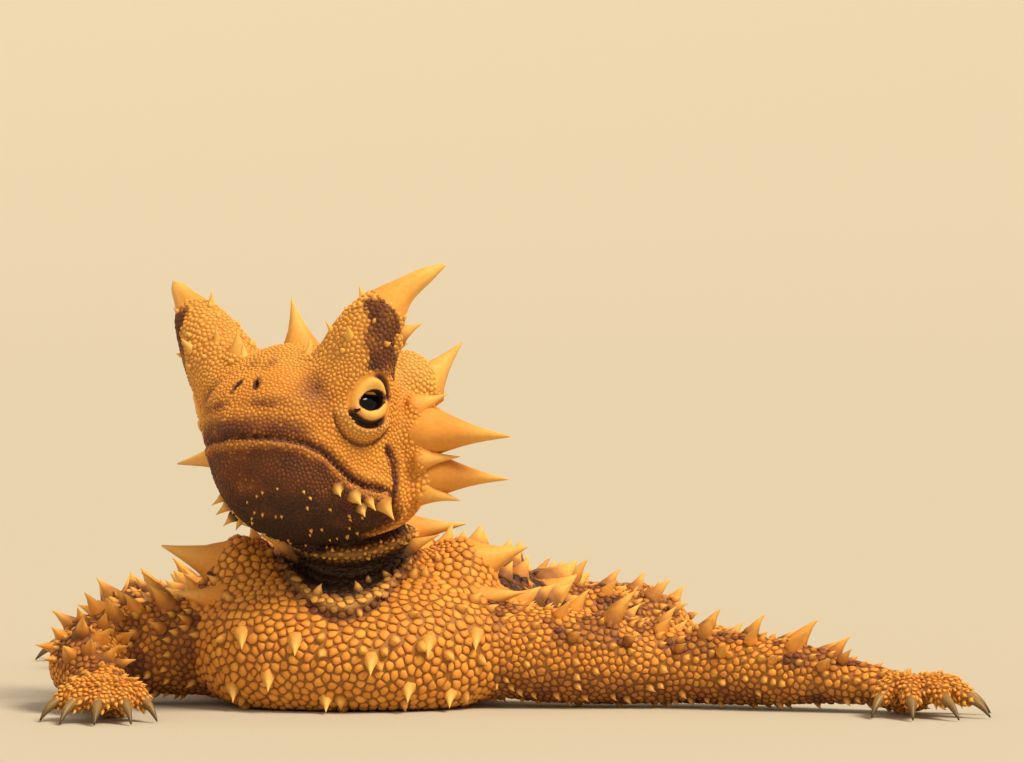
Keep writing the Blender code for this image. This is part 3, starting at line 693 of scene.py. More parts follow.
        pale = np.maximum.reduce([
            self.eye.pale(half),
            0.5 * ease(y, 1.5, 4.5) * ease(x, 6.0, 8.0) * ease(z, -4.5, -2.0),
            0.8 * (1 - ease(temple, 2.6, 4.0)),
            0.35 * ease(z, 2.0, 6.0) * (1 - ease(np.abs(y + 1.0), 6.0, 9.0)),
        ])
        brown = np.clip(dark - 0.5 * pale * (1 - ease(dark, 0.5, 0.9)), 0, 1)
        return brown, pale * (1 - ease(dark, 0.2, 0.8))


@dataclass
class ThroatFolds(Form):
    """Ring folds of loose skin across the front of the neck.

    Each fold is a row of its height at the middle, how fast it rises to the sides, its lift (negative
    for a groove) and its width.
    """

    middle: float = -1.9
    folds: Sequence[Row] = (
        (14.7, 0.045, -0.7, 0.6),
        (13.2, 0.05, 0.8, 0.5),
        (11.9, 0.06, -0.5, 0.4),
        (10.6, 0.085, -1.1, 0.7),
        (9.1, 0.11, 0.95, 0.55),
        (8.0, 0.13, -0.5, 0.5),
    )

    def __post_init__(self) -> None:
        """Sets the box of the throat."""
        self.low = np.array([-10.0, -30.0, 5.0])
        self.high = np.array([7.5, -8.0, 17.5])
        self.margin = 0.0

    def lift(self, points: Array) -> Array:
        """Height of the folds over the neck's plain surface.

        Args:
            points: Points in millimetres.

        Returns:
            Millimetres, negative in a groove.
        """
        x = points[:, 0] - self.middle
        total = np.zeros(len(points))
        for height, rise, lift, width in self.folds:
            total += lift * bell(points[:, 2] - height - rise * x**2, width)
        return total * self.fade(points)

    def fade(self, points: Array) -> Array:
        """One on the throat, down to nothing at the sides of the neck."""
        x = points[:, 0] - self.middle
        return (1 - ease(np.abs(x), 5.0, 8.0)) * ease(-points[:, 1], 9.0, 12.0)

    def merge(self, value: Array, points: Array) -> Array:
        """The body's distance with the folds raised on it."""
        return value - self.lift(points)

    def markings(self, points: Array) -> tuple[Array, Array]:
        """Brown and painted shadow under the chin, painted shade in the grooves, and cream on the folds.

        Args:
            points: Points in millimetres.

        Returns:
            Brown with painted shade, and cream, from 0 to 1.
        """
        lift = self.lift(points)
        x, z = points[:, 0] - self.middle, points[:, 2]
        # Brown, with painted shadow where the throat lies under the chin.
        collar_brown_and_shadow = ease(z - 7.6 - 0.12 * x**2, 0.0, 1.2) * (1 - ease(z, 16.0, 17.5))
        # The grooves between the folds get painted shade.
        dark = self.fade(points) * collar_brown_and_shadow * 0.85 - 0.75 * np.clip(lift, 0, 1) + np.clip(-lift, 0, 1)
        return np.clip(dark, 0, 1), np.clip(0.7 * lift, 0, 1)


@dataclass
class Spike:
    """One spike: root at the skin, tip, radius at the root, and the set that it is made with."""

    root: Array
    tip: Array
    radius: float
    kind: str
    bow: Array = field(default_factory=lambda: np.zeros(3))  # how far it is bowed at half its height
    scaly: float = 0.35  # share of its length that small scales cover

    def stub(self) -> Stub:
        """Its fleshy foot."""
        return Stub(self.root, self.tip, self.radius, share=0.16 + 0.2 * self.scaly,
                    width=0.5 + 0.25 * self.radius, margin=0.9)


@dataclass
class ThornRows:
    """Rows of thorns along a tube, drawn in the same order and from the same seed as the solids' own.

    A row is its angle, where it starts and ends, its count, and a thorn's length, radius and lean.
    """

    tube: Tube
    rows: Sequence[Row]
    kind: str
    slim: float = 0.95
    limb_slim: tuple[float, float] = (0.62, 0.8)  # on the sides and on the top of a limb
    limb_length: tuple[float, float] = (0.62, 0.78)  # of every other thorn
    flank_length: float = 0.6  # low on the front half of the trunk

    def grow(self, draw: random.Random, mirrored: bool) -> list[Spike]:
        """The rows of one side.

        Args:
            draw: The source of their small differences.
            mirrored: Whether they stand on the right.

        Returns:
            The spikes, row after row.
        """
        spikes = []
        for angle, first, last, count, length, radius, lean in self.rows:
            limb = self.kind in ("arms", "legs")
            slim = self.limb_slim[40 < angle < 140] if limb else self.slim
            for i in range(count):
                step = (i + 0.5 * (int(angle / 17) % 2)) / count
                share = first + (last - first) * step + draw.uniform(-0.01, 0.01)
                turn = angle + draw.uniform(-4, 4)
                root, normal, tangent = self.tube.place(share, 180 - turn if mirrored else turn)
                at = np.array([share * self.tube.length])
                width = float(self.tube.between(self.tube.sizes, at)[0, 0])
                size = draw.uniform(0.85, 1.12) * (0.5 + 0.5 * width / self.tube.sizes[:, 0].max())
                if limb:
                    size *= self.limb_length[i % 2]
                elif self.kind == "trunk" and angle < 60 and share < 0.62:
                    size *= self.flank_length
                way = unit(normal + tangent * lean)
                bow = normal * length * size * 0.12
                spikes.append(Spike(root, root + way * length * size, radius * size * slim, self.kind, bow))
        return spikes


TRUNK = Tube([
    (-1.2, -24.0, 4.6, 10.5, 4.4, 6.0),
    (-1.2, -19.0, 4.8, 12.6, 6.0, 6.2),
    (-1.2, -13.0, 5.0, 13.6, 7.0, 6.4),
    (-0.9, -5.0, 5.0, 15.0, 7.3, 6.4),
    (-0.4, 5.0, 5.0, 17.0, 7.4, 6.4),
    (0.0, 15.0, 5.0, 17.0, 7.2, 6.4),
    (0.0, 24.5, 5.0, 13.8, 6.4, 6.2),
    (0.2, 32.0, 5.0, 9.6, 5.4, 5.8),
    (0.4, 37.5, 4.9, 7.5, 4.8, 5.2),
], roundness=2.5, caps=(8.0, 0.0))
TAIL = Tube([
    (0.3, 33.0, 4.9, 7.2, 4.6, 4.9),
    (0.6, 40.0, 4.8, 6.0, 4.5, 5.0),
    (1.6, 49.0, 4.5, 5.0, 4.1, 4.8),
    (3.6, 60.0, 4.1, 4.4, 3.8, 4.4),
    (6.8, 71.0, 3.8, 3.9, 3.4, 4.0),
    (11.2, 81.5, 3.4, 3.4, 3.0, 3.5),
    (16.8, 91.0, 2.9, 2.8, 2.5, 3.0),
    (23.0, 98.5, 2.6, 2.1, 1.9, 2.2),
    (28.0, 103.0, 2.8, 1.6, 1.5, 1.6),
], caps=(0.0, 2.0), width=2.5)
NECK = Tube([
    (-0.6, -9.0, 6.0, 6.2, 6.2, 7.0),
    (-0.8, -11.0, 10.0, 6.0, 5.6, 6.4),
    (-1.3, -12.6, 13.6, 5.5, 4.8, 5.6),
    (-1.9, -13.4, 17.5, 5.4, 4.4, 5.2),
    (-2.4, -14.0, 22.0, 4.6, 3.6, 4.4),
], up=(0, -1, 0), width=2.4)
LIMBS = {
    "arm_left": Tube([
        (6.0, -13.0, 6.0, 4.6, 3.6, 4.0),
        (13.0, -14.6, 4.9, 4.3, 4.0, 4.4),
        (20.0, -15.2, 4.4, 3.9, 3.7, 4.3),
        (27.5, -15.6, 3.8, 3.2, 3.0, 3.6),
        (34.5, -18.0, 3.4, 3.1, 2.9, 3.2),
        (40.5, -20.3, 2.7, 2.4, 2.1, 2.2),
        (45.5, -22.0, 2.0, 2.2, 1.6, 1.6),
    ], width=1.8),
    "arm_right": Tube([
        (-6.0, -12.0, 6.2, 4.6, 3.6, 3.8),
        (-12.6, -12.2, 5.4, 4.4, 4.0, 4.6),
        (-18.4, -11.8, 5.1, 4.1, 3.9, 4.4),
        (-22.6, -13.8, 4.7, 3.5, 3.4, 3.9),
        (-24.0, -18.4, 4.0, 3.2, 3.0, 3.4),
        (-22.8, -22.8, 2.9, 2.5, 2.2, 2.4),
        (-21.2, -26.2, 2.0, 2.2, 1.6, 1.6),
    ], width=1.8),
    "leg_left": Tube([
        (5.0, 27.0, 5.2, 4.8, 3.6, 4.0),
        (11.6, 25.8, 5.0, 4.8, 3.9, 4.4),
        (18.2, 23.2, 4.9, 4.2, 3.7, 4.2),
        (23.8, 24.4, 4.5, 3.6, 3.2, 3.6),
        (26.6, 29.2, 3.8, 3.1, 2.9, 3.2),
        (25.4, 34.2, 2.9, 2.4, 2.1, 2.4),
        (27.6, 37.8, 2.0, 2.2, 1.6, 1.6),
    ], width=1.8),
    "leg_right": Tube([
        (-5.0, 27.4, 5.2, 4.8, 3.6, 4.0),
        (-11.4, 27.0, 5.0, 4.8, 3.9, 4.4),
        (-17.8, 24.6, 4.9, 4.3, 3.7, 4.2),
        (-22.8, 26.6, 4.5, 3.6, 3.2, 3.6),
        (-24.2, 32.0, 3.8, 3.2, 2.9, 3.2),
        (-22.6, 37.8, 2.9, 2.4, 2.1, 2.4),
        (-24.4, 41.4, 2.0, 2.2, 1.6, 1.6),
    ], width=1.8),
}
SKULL_STATIONS = [
    (0.0, -11.4, -1.6, 3.9, 3.0, 3.4),
    (0.0, -10.0, -1.4, 5.1, 4.4, 4.8),
    (0.0, -7.2, -1.0, 6.8, 5.9, 6.7),
    (0.0, -4.0, -0.8, 8.2, 7.4, 7.9),
    (0.0, 0.0, -0.8, 9.0, 7.8, 8.2),
    (0.0, 3.8, -0.8, 9.5, 7.2, 7.4),
    (0.0, 6.8, -0.8, 8.6, 6.0, 6.0),
    (0.0, 9.6, -0.8, 6.4, 4.2, 4.4),
]
HORN_STATIONS = [
    (6.2, -3.7, 4.0, 3.6, 3.6, 3.6),
    (7.4, -4.3, 6.4, 3.6, 3.4, 3.4),
    (8.9, -4.6, 8.7, 3.1, 2.9, 2.9),
    (10.7, -4.3, 10.9, 2.1, 2.0, 2.0),
    (12.4, -3.5, 12.5, 1.0, 1.0, 1.0),
    (14.2, -2.5, 13.9, 0.15, 0.15, 0.15),
]
MOUTH = [(-16.0, -2.6), (-7.0, -2.4), (-2.5, -4.4), (1.2, -5.1), (2.6, -6.6), (3.0, -9.0), (3.2, -16.0)]

TRUNK_ROWS = [
    (6.0, 0.25, 0.75, 6, 3.0, 1.4, 0.35),
    (22.0, 0.27, 0.79, 6, 4.6, 2.1, 0.45),
    (44.0, 0.29, 0.81, 6, 3.2, 1.6, 0.5),
    (64.0, 0.34, 0.83, 6, 2.9, 1.5, 0.5),
    (81.0, 0.40, 0.84, 5, 2.5, 1.3, 0.5),
]
TAIL_ROWS = [
    (12.0, 0.11, 0.89, 10, 3.4, 1.5, 0.5),
    (48.0, 0.09, 0.88, 10, 3.3, 1.5, 0.5),
    (82.0, 0.11, 0.86, 9, 2.9, 1.3, 0.5),
]
LIMB_ROWS = [
    (28.0, 0.24, 0.90, 6, 2.6, 1.2, 0.5),
    (62.0, 0.22, 0.93, 7, 3.4, 1.4, 0.55),
    (96.0, 0.24, 0.90, 7, 3.8, 1.5, 0.6),
    (130.0, 0.22, 0.88, 6, 3.2, 1.3, 0.55),
    (163.0, 0.27, 0.83, 5, 2.2, 1.1, 0.5),
]
SHOULDER_SHIFT = -1.5
SHOULDER_HUMP = ((9.2, -10.6, 10.4), (3.6, 4.6, 3.8))
NAPE_KNOB = ((-1.2, -3.4, 14.0), (4.8, 4.0, 4.2))
SHOULDER_THORNS = [
    ((10.6, -11.0, 12.0), (15.4, -11.2, 13.6), 2.2),
    ((11.2, -14.6, 9.2), (15.2, -15.4, 9.9), 1.4),
    ((8.2, -9.4, 13.4), (8.8, -7.4, 15.6), 1.0),
    ((4.4, -13.6, 13.4), (7.8, -14.6, 14.8), 1.1),
]
RIGHT_SHOULDER_THORN = ((10.6, -11.0, 11.8), (16.4, -11.4, 13.7), 2.6)
KNOB_THORNS = [
    ((4.6, -3.6, 14.6), (10.0, -2.8, 15.2), 1.7),
    ((3.0, -3.4, 16.8), (5.6, -2.6, 19.6), 1.2),
    ((3.4, -1.2, 15.0), (6.2, 1.6, 16.8), 1.1),
    ((1.2, -1.0, 16.6), (1.6, 1.6, 19.0), 0.9),
]
HEAD_THORNS = [
    ((8.8, 3.6, 1.2), (16.9, 5.2, 0.6), 2.1),
    ((8.8, 5.4, -2.2), (15.6, 7.2, -2.6), 1.7),
    ((7.7, 4.8, 5.8), (10.3, 6.2, 9.6), 1.5),
    ((9.2, 3.0, -1.4), (11.9, 5.0, -0.9), 0.9),
    ((8.6, 4.6, -3.8), (11.3, 6.4, -4.4), 1.0),
    ((9.0, 2.0, 3.0), (11.4, 3.2, 4.2), 0.9),
    ((4.0, 6.4, 4.6), (5.6, 8.8, 8.0), 1.2),
    ((3.4, -6.0, 5.0), (3.6, -6.4, 7.4), 0.9),
    ((7.6, 7.6, 1.6), (10.6, 10.8, 2.6), 1.1),
]
JAW_THORNS = [
    ((7.4, 0.6, -5.6), (8.5, 1.0, -7.1), 0.75),
    ((7.0, -0.9, -5.7), (8.0, -1.0, -6.7), 0.5),
    ((6.6, -2.4, -5.6), (7.8, -2.8, -6.6), 0.6),
    ((6.0, -4.0, -5.3), (6.9, -4.6, -6.2), 0.45),
    ((6.9, -1.6, -6.6), (7.6, -1.9, -7.4), 0.4),
]
HORN_THORNS = [
    ((8.1, -4.8, 9.9), (7.5, -5.4, 11.9), 0.8),
    ((6.2, -6.4, 7.4), (5.7, -7.3, 8.5), 0.5),
    ((10.6, -3.3, 7.9), (12.4, -2.6, 8.9), 0.9),
    ((9.9, -3.2, 6.6), (11.2, -2.6, 7.3), 0.6),
    ((8.2, -6.6, 6.6), (8.8, -8.2, 7.6), 0.8),
]
CROWN_THORN = ((0.45, -3.4, 7.0), (0.0, -4.9, 11.5), 1.7)
RIGHT_BROW_THORN = ((-4.4, -6.0, 6.6), (-3.9, -7.0, 8.5), 1.0)
LONG_THORN = ((8.8, 3.6, 0.6), (19.4, 5.4, 0.4), 2.3)
TUBERCLE_RADIUS = 0.65
CHEST_TUBERCLES = [
    (-8.1, 3.1), (-11.2, 2.0), (-3.2, 1.4), (3.7, 2.2), (7.2, 1.6), (11.2, 2.9), (13.4, 3.4),
    (-5.8, 6.2), (5.4, 6.0), (0.6, 4.6), (9.4, 6.4), (-10.4, 6.6),
]


def zero_level(value: Array, step: float, low: Array) -> tuple[Array, Array]:
    """Closed quads through the zero level of a field sampled on a grid.

    Each cell that the level crosses gets one point, the mean of the crossings on its edges, and each
    grid edge that it crosses gets one quad, through the four cells round that edge.

    Args:
        value: The field at the grid's points.
        step: The grid's step.
        low: The grid's first corner.

    Returns:
        The points, and the indices of each quad's corners.
    """
    inside = value < 0
    shape = np.array(value.shape) - 1
    corners = [np.array((i, j, k)) for i in (0, 1) for j in (0, 1) for k in (0, 1)]
    count = sum(inside[tuple(slice(c[i], shape[i] + c[i]) for i in range(3))].astype(np.int8)
                for c in corners)
    cells = np.argwhere((count > 0) & (count < 8))
    index = np.full(shape, -1, np.int64)
    index[tuple(cells.T)] = np.arange(len(cells))
    total = np.zeros((len(cells), 3))
    crossings = np.zeros(len(cells))
    for a in corners:
        for b in corners:
            if (b - a).sum() != 1 or (b < a).any():
                continue
            start = value[tuple((cells + a).T)].astype(float)
            end = value[tuple((cells + b).T)].astype(float)
            cross = (start < 0) != (end < 0)
            t = np.where(cross, start / np.where(cross, start - end, 1.0), 0.0)
            total += np.where(cross[:, None], a + t[:, None] * (b - a), 0.0)
            crossings += cross
    points = (cells + total / crossings[:, None]) * step + low
    quads = []
    for axis in range(3):
        near = [slice(None)] * 3
        far = [slice(None)] * 3
        near[axis], far[axis] = slice(0, -1), slice(1, None)
        here, there = inside[tuple(near)], inside[tuple(far)]
        edges = np.argwhere(here != there)
        flipped = there[tuple(edges.T)]
        b, c = np.eye(3, dtype=int)[[(axis + 1) % 3, (axis + 2) % 3]]
        ring = [index[tuple((edges - shift).T)] for shift in (0 * b, b, b + c, c)]
        quad = np.stack(ring, axis=1)
        quads.append(np.where(flipped[:, None], quad[:, ::-1], quad))
    return points, np.concatenate(quads)


@dataclass
class Flesh:
    """The whole body as one field: every form merged in turn, and cut level at the floor."""

    forms: list[Form]
    step: float = 0.52
    far: float = 3.0
    floor: float = 0.3

    def at(self, points: Array) -> Array:
        """The field at any points.

        Args:
            points: Points in millimetres.

        Returns:
            Signed distance in millimetres, negative inside.
        """
        value = np.full(len(points), self.far)
        low, high = points.min(0), points.max(0)
        for form in self.forms:
            if np.any(form.low - form.margin > high) or np.any(form.high + form.margin < low):
                continue
            near = form.near(points, form.margin)
            if len(near):
                value[near] = form.merge(value[near], points[near])
        return np.maximum(value, self.floor - points[:, 2])

    def net(self) -> tuple[Array, Array]:
        """Points and quads of the body's surface on the coarse grid.

        Returns:
            The points, and the indices of each quad's corners.
        """
        low = np.array([min(f.low[i] for f in self.forms) for i in range(3)]) - 1.5
        high = np.array([max(f.high[i] for f in self.forms) for i in range(3)]) + 1.5
        low[2] = -1.0
        axes = [np.arange(low[i], high[i], self.step) for i in range(3)]
        value = np.full([len(axis) for axis in axes], self.far, np.float32)
        for form in self.forms:
            start, end = form.low - form.margin, form.high + form.margin
            span = tuple(slice(*np.searchsorted(axes[i], (start[i], end[i]))) for i in range(3))
            block = value[span]
            if not block.size:
                continue
            grid = np.meshgrid(*(axes[i][span[i]] for i in range(3)), indexing="ij")
            points = np.stack(grid, axis=-1).reshape(-1, 3)
            value[span] = form.merge(block.ravel().astype(float), points).reshape(block.shape)
        value = np.maximum(value, (self.floor - axes[2]).astype(np.float32))
        return zero_level(value, self.step, low)

    def settled(self, points: Array, rounds: int = 3) -> Array:
        """Points moved onto the zero level by Newton's steps along the field's slope.

        Args:
            points: Points near the zero level.
            rounds: How many steps to take.

        Returns:
            The points, moved.
        """
        h = 0.04
        for _ in range(rounds):
            value = self.at(points)
            slope = np.stack([(self.at(points + h * e) - self.at(points - h * e)) / (2 * h)
                              for e in np.eye(3)], axis=1)
            move = value[:, None] * slope / np.maximum((slope**2).sum(1), 0.25)[:, None]
            points = points - np.clip(move, -0.25, 0.25)
        return points


@dataclass
class Surface:
    """A surface that scales grow on: points, triangles and what holds at each point."""

    points: Array
    triangles: Array
    normals: Array
    part: Array
    share: Array
    angle: Array
    lie: Array
    dark: Array
    pale: Array
    pitch: Array
    thorny: Array
    bare: Array


def make_object(name: str, points: Array, faces: Array) -> Piece:
    """A smooth mesh object at the origin, from points in millimetres.

    Args:
        name: The piece's name.
        points: One row for each vertex.
        faces: Vertex indices, one row for each face.

    Returns:
        The new object, linked to the scene.
    """
    mesh = bpy.data.meshes.new(name)
    mesh.vertices.add(len(points))
    mesh.vertices.foreach_set("co", (points * MM).astype(np.float32).ravel())
    mesh.loops.add(faces.size)
    mesh.loops.foreach_set("vertex_index", faces.astype(np.int32).ravel())
    mesh.polygons.add(len(faces))
    mesh.polygons.foreach_set("loop_start", np.arange(0, faces.size, faces.shape[1], dtype=np.int32))
    mesh.update(calc_edges=True)
    mesh.polygons.foreach_set("use_smooth", np.full(len(mesh.polygons), True))
    mesh.update()
    obj = bpy.data.objects.new(name, mesh)
    bpy.context.scene.collection.objects.link(obj)
    return obj


def set_marks(obj: Piece, dark: Array, pale: Array, rise: Array, tone: Array) -> None:
    """Stores the markings at each vertex: brown with painted shade, cream, height in a scale and light or
    dark tone.
    """
    mesh = obj.data
    attribute = mesh.color_attributes.new("marks", "FLOAT_COLOR", "POINT")
    values = np.stack([dark, pale, rise, tone], axis=1).astype(np.float32)
    attribute.data.foreach_set("color", values.ravel())


def set_bake_map(obj: Piece, where: dict[str, Array], sides: int, widths: Array) -> None:
    """Stores a map for baking, where each form is a patch at its root's place on the part's unwrap.

    Args:
        obj: The piece, whose forms are each rings of points and two end points.
        where: Each root's share of the part's length and angle round it.
        sides: Points on each ring.
        widths: Each ring's width in the patch.
    """
    share, angle = where["share"], where["angle"]
    ring = np.stack([np.cos(turns(sides)), np.sin(turns(sides))], 1)
    shape = np.concatenate([ring * width for width in widths] + [np.zeros((2, 2))])
    root = np.stack([0.02 + 0.96 * share, 0.5 + 0.48 * angle / math.pi], 1)
    place = (root[:, None] + shape[None]).reshape(-1, 2)
    layer = obj.data.uv_layers.new(name="OFBake")
    index = np.empty(len(obj.data.loops), np.int32)
    obj.data.loops.foreach_get("vertex_index", index)
    layer.data.foreach_set("uv", place[index].astype(np.float32).ravel())


def read_mesh(obj: Piece) -> tuple[Array, Array, Array]:
    """Points in millimetres, triangles and vertex normals of a mesh object.

    Args:
        obj: The piece.

    Returns:
        The points, the indices of each triangle's corners, and the normals.
    """
    mesh = obj.data
    mesh.calc_loop_triangles()
    points = np.empty(len(mesh.vertices) * 3, np.float32)
    mesh.vertices.foreach_get("co", points)
    triangles = np.empty(len(mesh.loop_triangles) * 3, np.int32)
    mesh.loop_triangles.foreach_get("vertices", triangles)
    normals = np.empty(len(mesh.vertices) * 3, np.float32)
    mesh.vertex_normals.foreach_get("vector", normals)
    return points.reshape(-1, 3) / MM, triangles.reshape(-1, 3), normals.reshape(-1, 3).astype(float)


def outward_faces(obj: Piece) -> None:
    """Turns the faces of a closed mesh outwards.

    Args:
        obj: The piece.
    """
    made = bmesh.new()
    made.from_mesh(obj.data)
    bmesh.ops.recalc_face_normals(made, faces=made.faces)
    made.to_mesh(obj.data)
    made.free()


def dressed(obj: Piece, finish: bpy.types.Material) -> Piece:
    """Gives a piece its finish and the body that it rides on.

    Args:
        obj: The piece.
        finish: Its material.

    Returns:
        The same object.
    """
    obj.data.materials.clear()
    obj.data.materials.append(finish)
    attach(obj, BODY)
    log.info("%s: %d faces", obj.name, len(obj.data.polygons))
    return obj


@dataclass
class Anatomy:
    """Which part each point of the body belongs to, and its place on that part."""

    head: Head
    tubes: list[tuple[Part, Tube]]
    masses: list[Ball]

    def read(self, points: Array) -> dict[str, Array]:
        """Part, share of its length, angle round it and the lie of its scales, at each point.

        Args:
            points: Points in millimetres.

        Returns:
            One array for each of these words: part, share, angle and lie.
        """
        count = len(points)
        best = np.full(count, 1e9)
        part = np.zeros(count, int)
        share, angle = np.zeros(count), np.zeros(count)
        lie = np.zeros((count, 3))
        for kind, tube in self.tubes:
            near = tube.near(points, 3.0)
            if not len(near):
                continue
            s, x, y, row = tube.locate(points[near])
            gap = tube.distance(points[near])
            wins = gap < best[near]
            chosen = near[wins]
            best[chosen] = gap[wins]
            part[chosen] = kind.value
            share[chosen] = np.clip(s[wins] / tube.length, 0, 1)
            angle[chosen] = np.arctan2(y[wins] / row[wins, 13], x[wins] / row[wins, 12])
            lie[chosen] = row[wins, 3:6]
        for mass in self.masses:
            best = np.minimum(best, mass.distance(points) - 0.2)
        head = self.head
        near = head.near(points, 0.0)
        local, half = head.halves(points[near])
        wins = head.distance(points[near]) < best[near] + 0.05
        chosen = near[wins]
        part[chosen] = Part.HEAD.value
        share[chosen] = np.clip((local[wins, 1] + 13) / 26, 0, 1)
        angle[chosen] = np.arctan2(local[wins, 2], local[wins, 0])
        lie[chosen] = np.array([0.0, 1.0, -0.25]) @ head.pose.axes
        barked = wins & (half[:, 2] > 5.4) & (head.bark.distance(half) < head.skull.distance(local) - 0.4)
        chosen = near[barked]
        s, x, y, _ = head.bark.locate(half[barked])
        right = local[barked, 0] < 0
        part[chosen] = Part.HORN.value
        share[chosen] = 0.49 * np.clip(s / head.bark.length, 0, 1) + 0.5 * right
        angle[chosen] = np.arctan2(y, x)
        out = np.where(right, -0.5, 0.5)[:, None] * head.pose.axes[0]
        lie[chosen] = out + 0.85 * head.pose.axes[2]
        front = part == Part.TRUNK.value
        forward = ease(-points[:, 1], 14.0, 20.0) * front
        lie = lie + forward[:, None] * np.array([0.0, 0.0, -2.0])
        return {"part": part, "share": share, "angle": angle, "lie": lie}


@dataclass
class Markings:
    """Brown and cream markings of the whole animal, with painted shade, worked out from each point's place
    on its part.
    """

    head: Head
    folds: ThroatFolds
    blotches: Sequence[Row] = (
        (0.39, 56.0, 0.080, 26.0), (0.57, 58.0, 0.085, 27.0), (0.76, 60.0, 0.07, 28.0),
        (0.93, 60.0, 0.06, 30.0), (0.48, 16.0, 0.07, 18.0), (0.67, 16.0, 0.06, 18.0),
    )

    def patch(self, reach: Array) -> Array:
        """Russet inside a patch and dark brown on its edge, from the distance scaled to its size."""
        return 0.5 * (1 - ease(reach, 0.75, 0.95)) + 0.95 * bell(reach - 0.93, 0.14)

    def of(self, points: Array, where: dict[str, Array]) -> tuple[Array, Array]:
        """Amounts of brown, with painted shade, and of cream at each point.

        Args:
            points: Points in millimetres.
            where: What the anatomy reads there.

        Returns:
            Brown with painted shade, and cream, from 0 to 1.
        """
        part, share, angle = where["part"], where["share"], np.degrees(where["angle"])
        dark, pale = np.zeros(len(points)), np.zeros(len(points))
        mirrored = np.where(np.abs(angle) > 90, 180 - np.abs(angle), np.abs(angle)) * np.sign(angle)
        wave = 0.2 * np.sin(points[:, 0] * 0.9 + 1.3) * np.sin(points[:, 1] * 0.7)
        wave += 0.14 * np.sin(points[:, 0] * 1.9 + 0.5) * np.sin(points[:, 1] * 1.6 + 0.8)
        trunk = part == Part.TRUNK.value
        reach = np.full(len(points), 9.0)
        for along, around, length, breadth in self.blotches:
            gap = np.hypot((share - along) / length, (mirrored - around) / breadth)
            reach = np.minimum(reach, gap + wave)
        dark[trunk] = self.patch(reach)[trunk]
        back = bell(np.where(angle > 0, angle - 90, 90.0), 7.0) * ease(share, 0.25, 0.35)
        pale[trunk] = 0.7 * back[trunk]
        for kind, bands in ((Part.ARM, 4.2), (Part.LEG, 4.2), (Part.TAIL, 7.0)):
            here = part == kind.value
            phase = np.abs((share * bands + 0.15 * np.sin(angle * 0.05) + wave) % 1.0 - 0.5) * 2
            band = self.patch(phase * 1.9) * ease(angle, -5.0, 35.0)
            # Painted shade: the lower half of each limb and of the tail is darker.
            low = 0.56 * ease(-angle, 0.0, 50.0) * (0.75 + 1.2 * wave)
            dark[here] = np.maximum(0.75 * band, low)[here]
        head = (part == Part.HEAD.value) | (part == Part.HORN.value)
        if head.any():
            dark[head], pale[head] = self.head.markings(points[head])
        brown, cream = self.folds.markings(points)
        dark = np.where(head, dark, np.maximum(dark, brown))
        pale = np.where(head, pale, np.maximum(pale, cream))
        under = ease(4.0 - points[:, 2], 0.0, 3.0) * trunk
        return np.clip(dark * (1 - 0.6 * under), 0, 1), np.clip(pale, 0, 1)


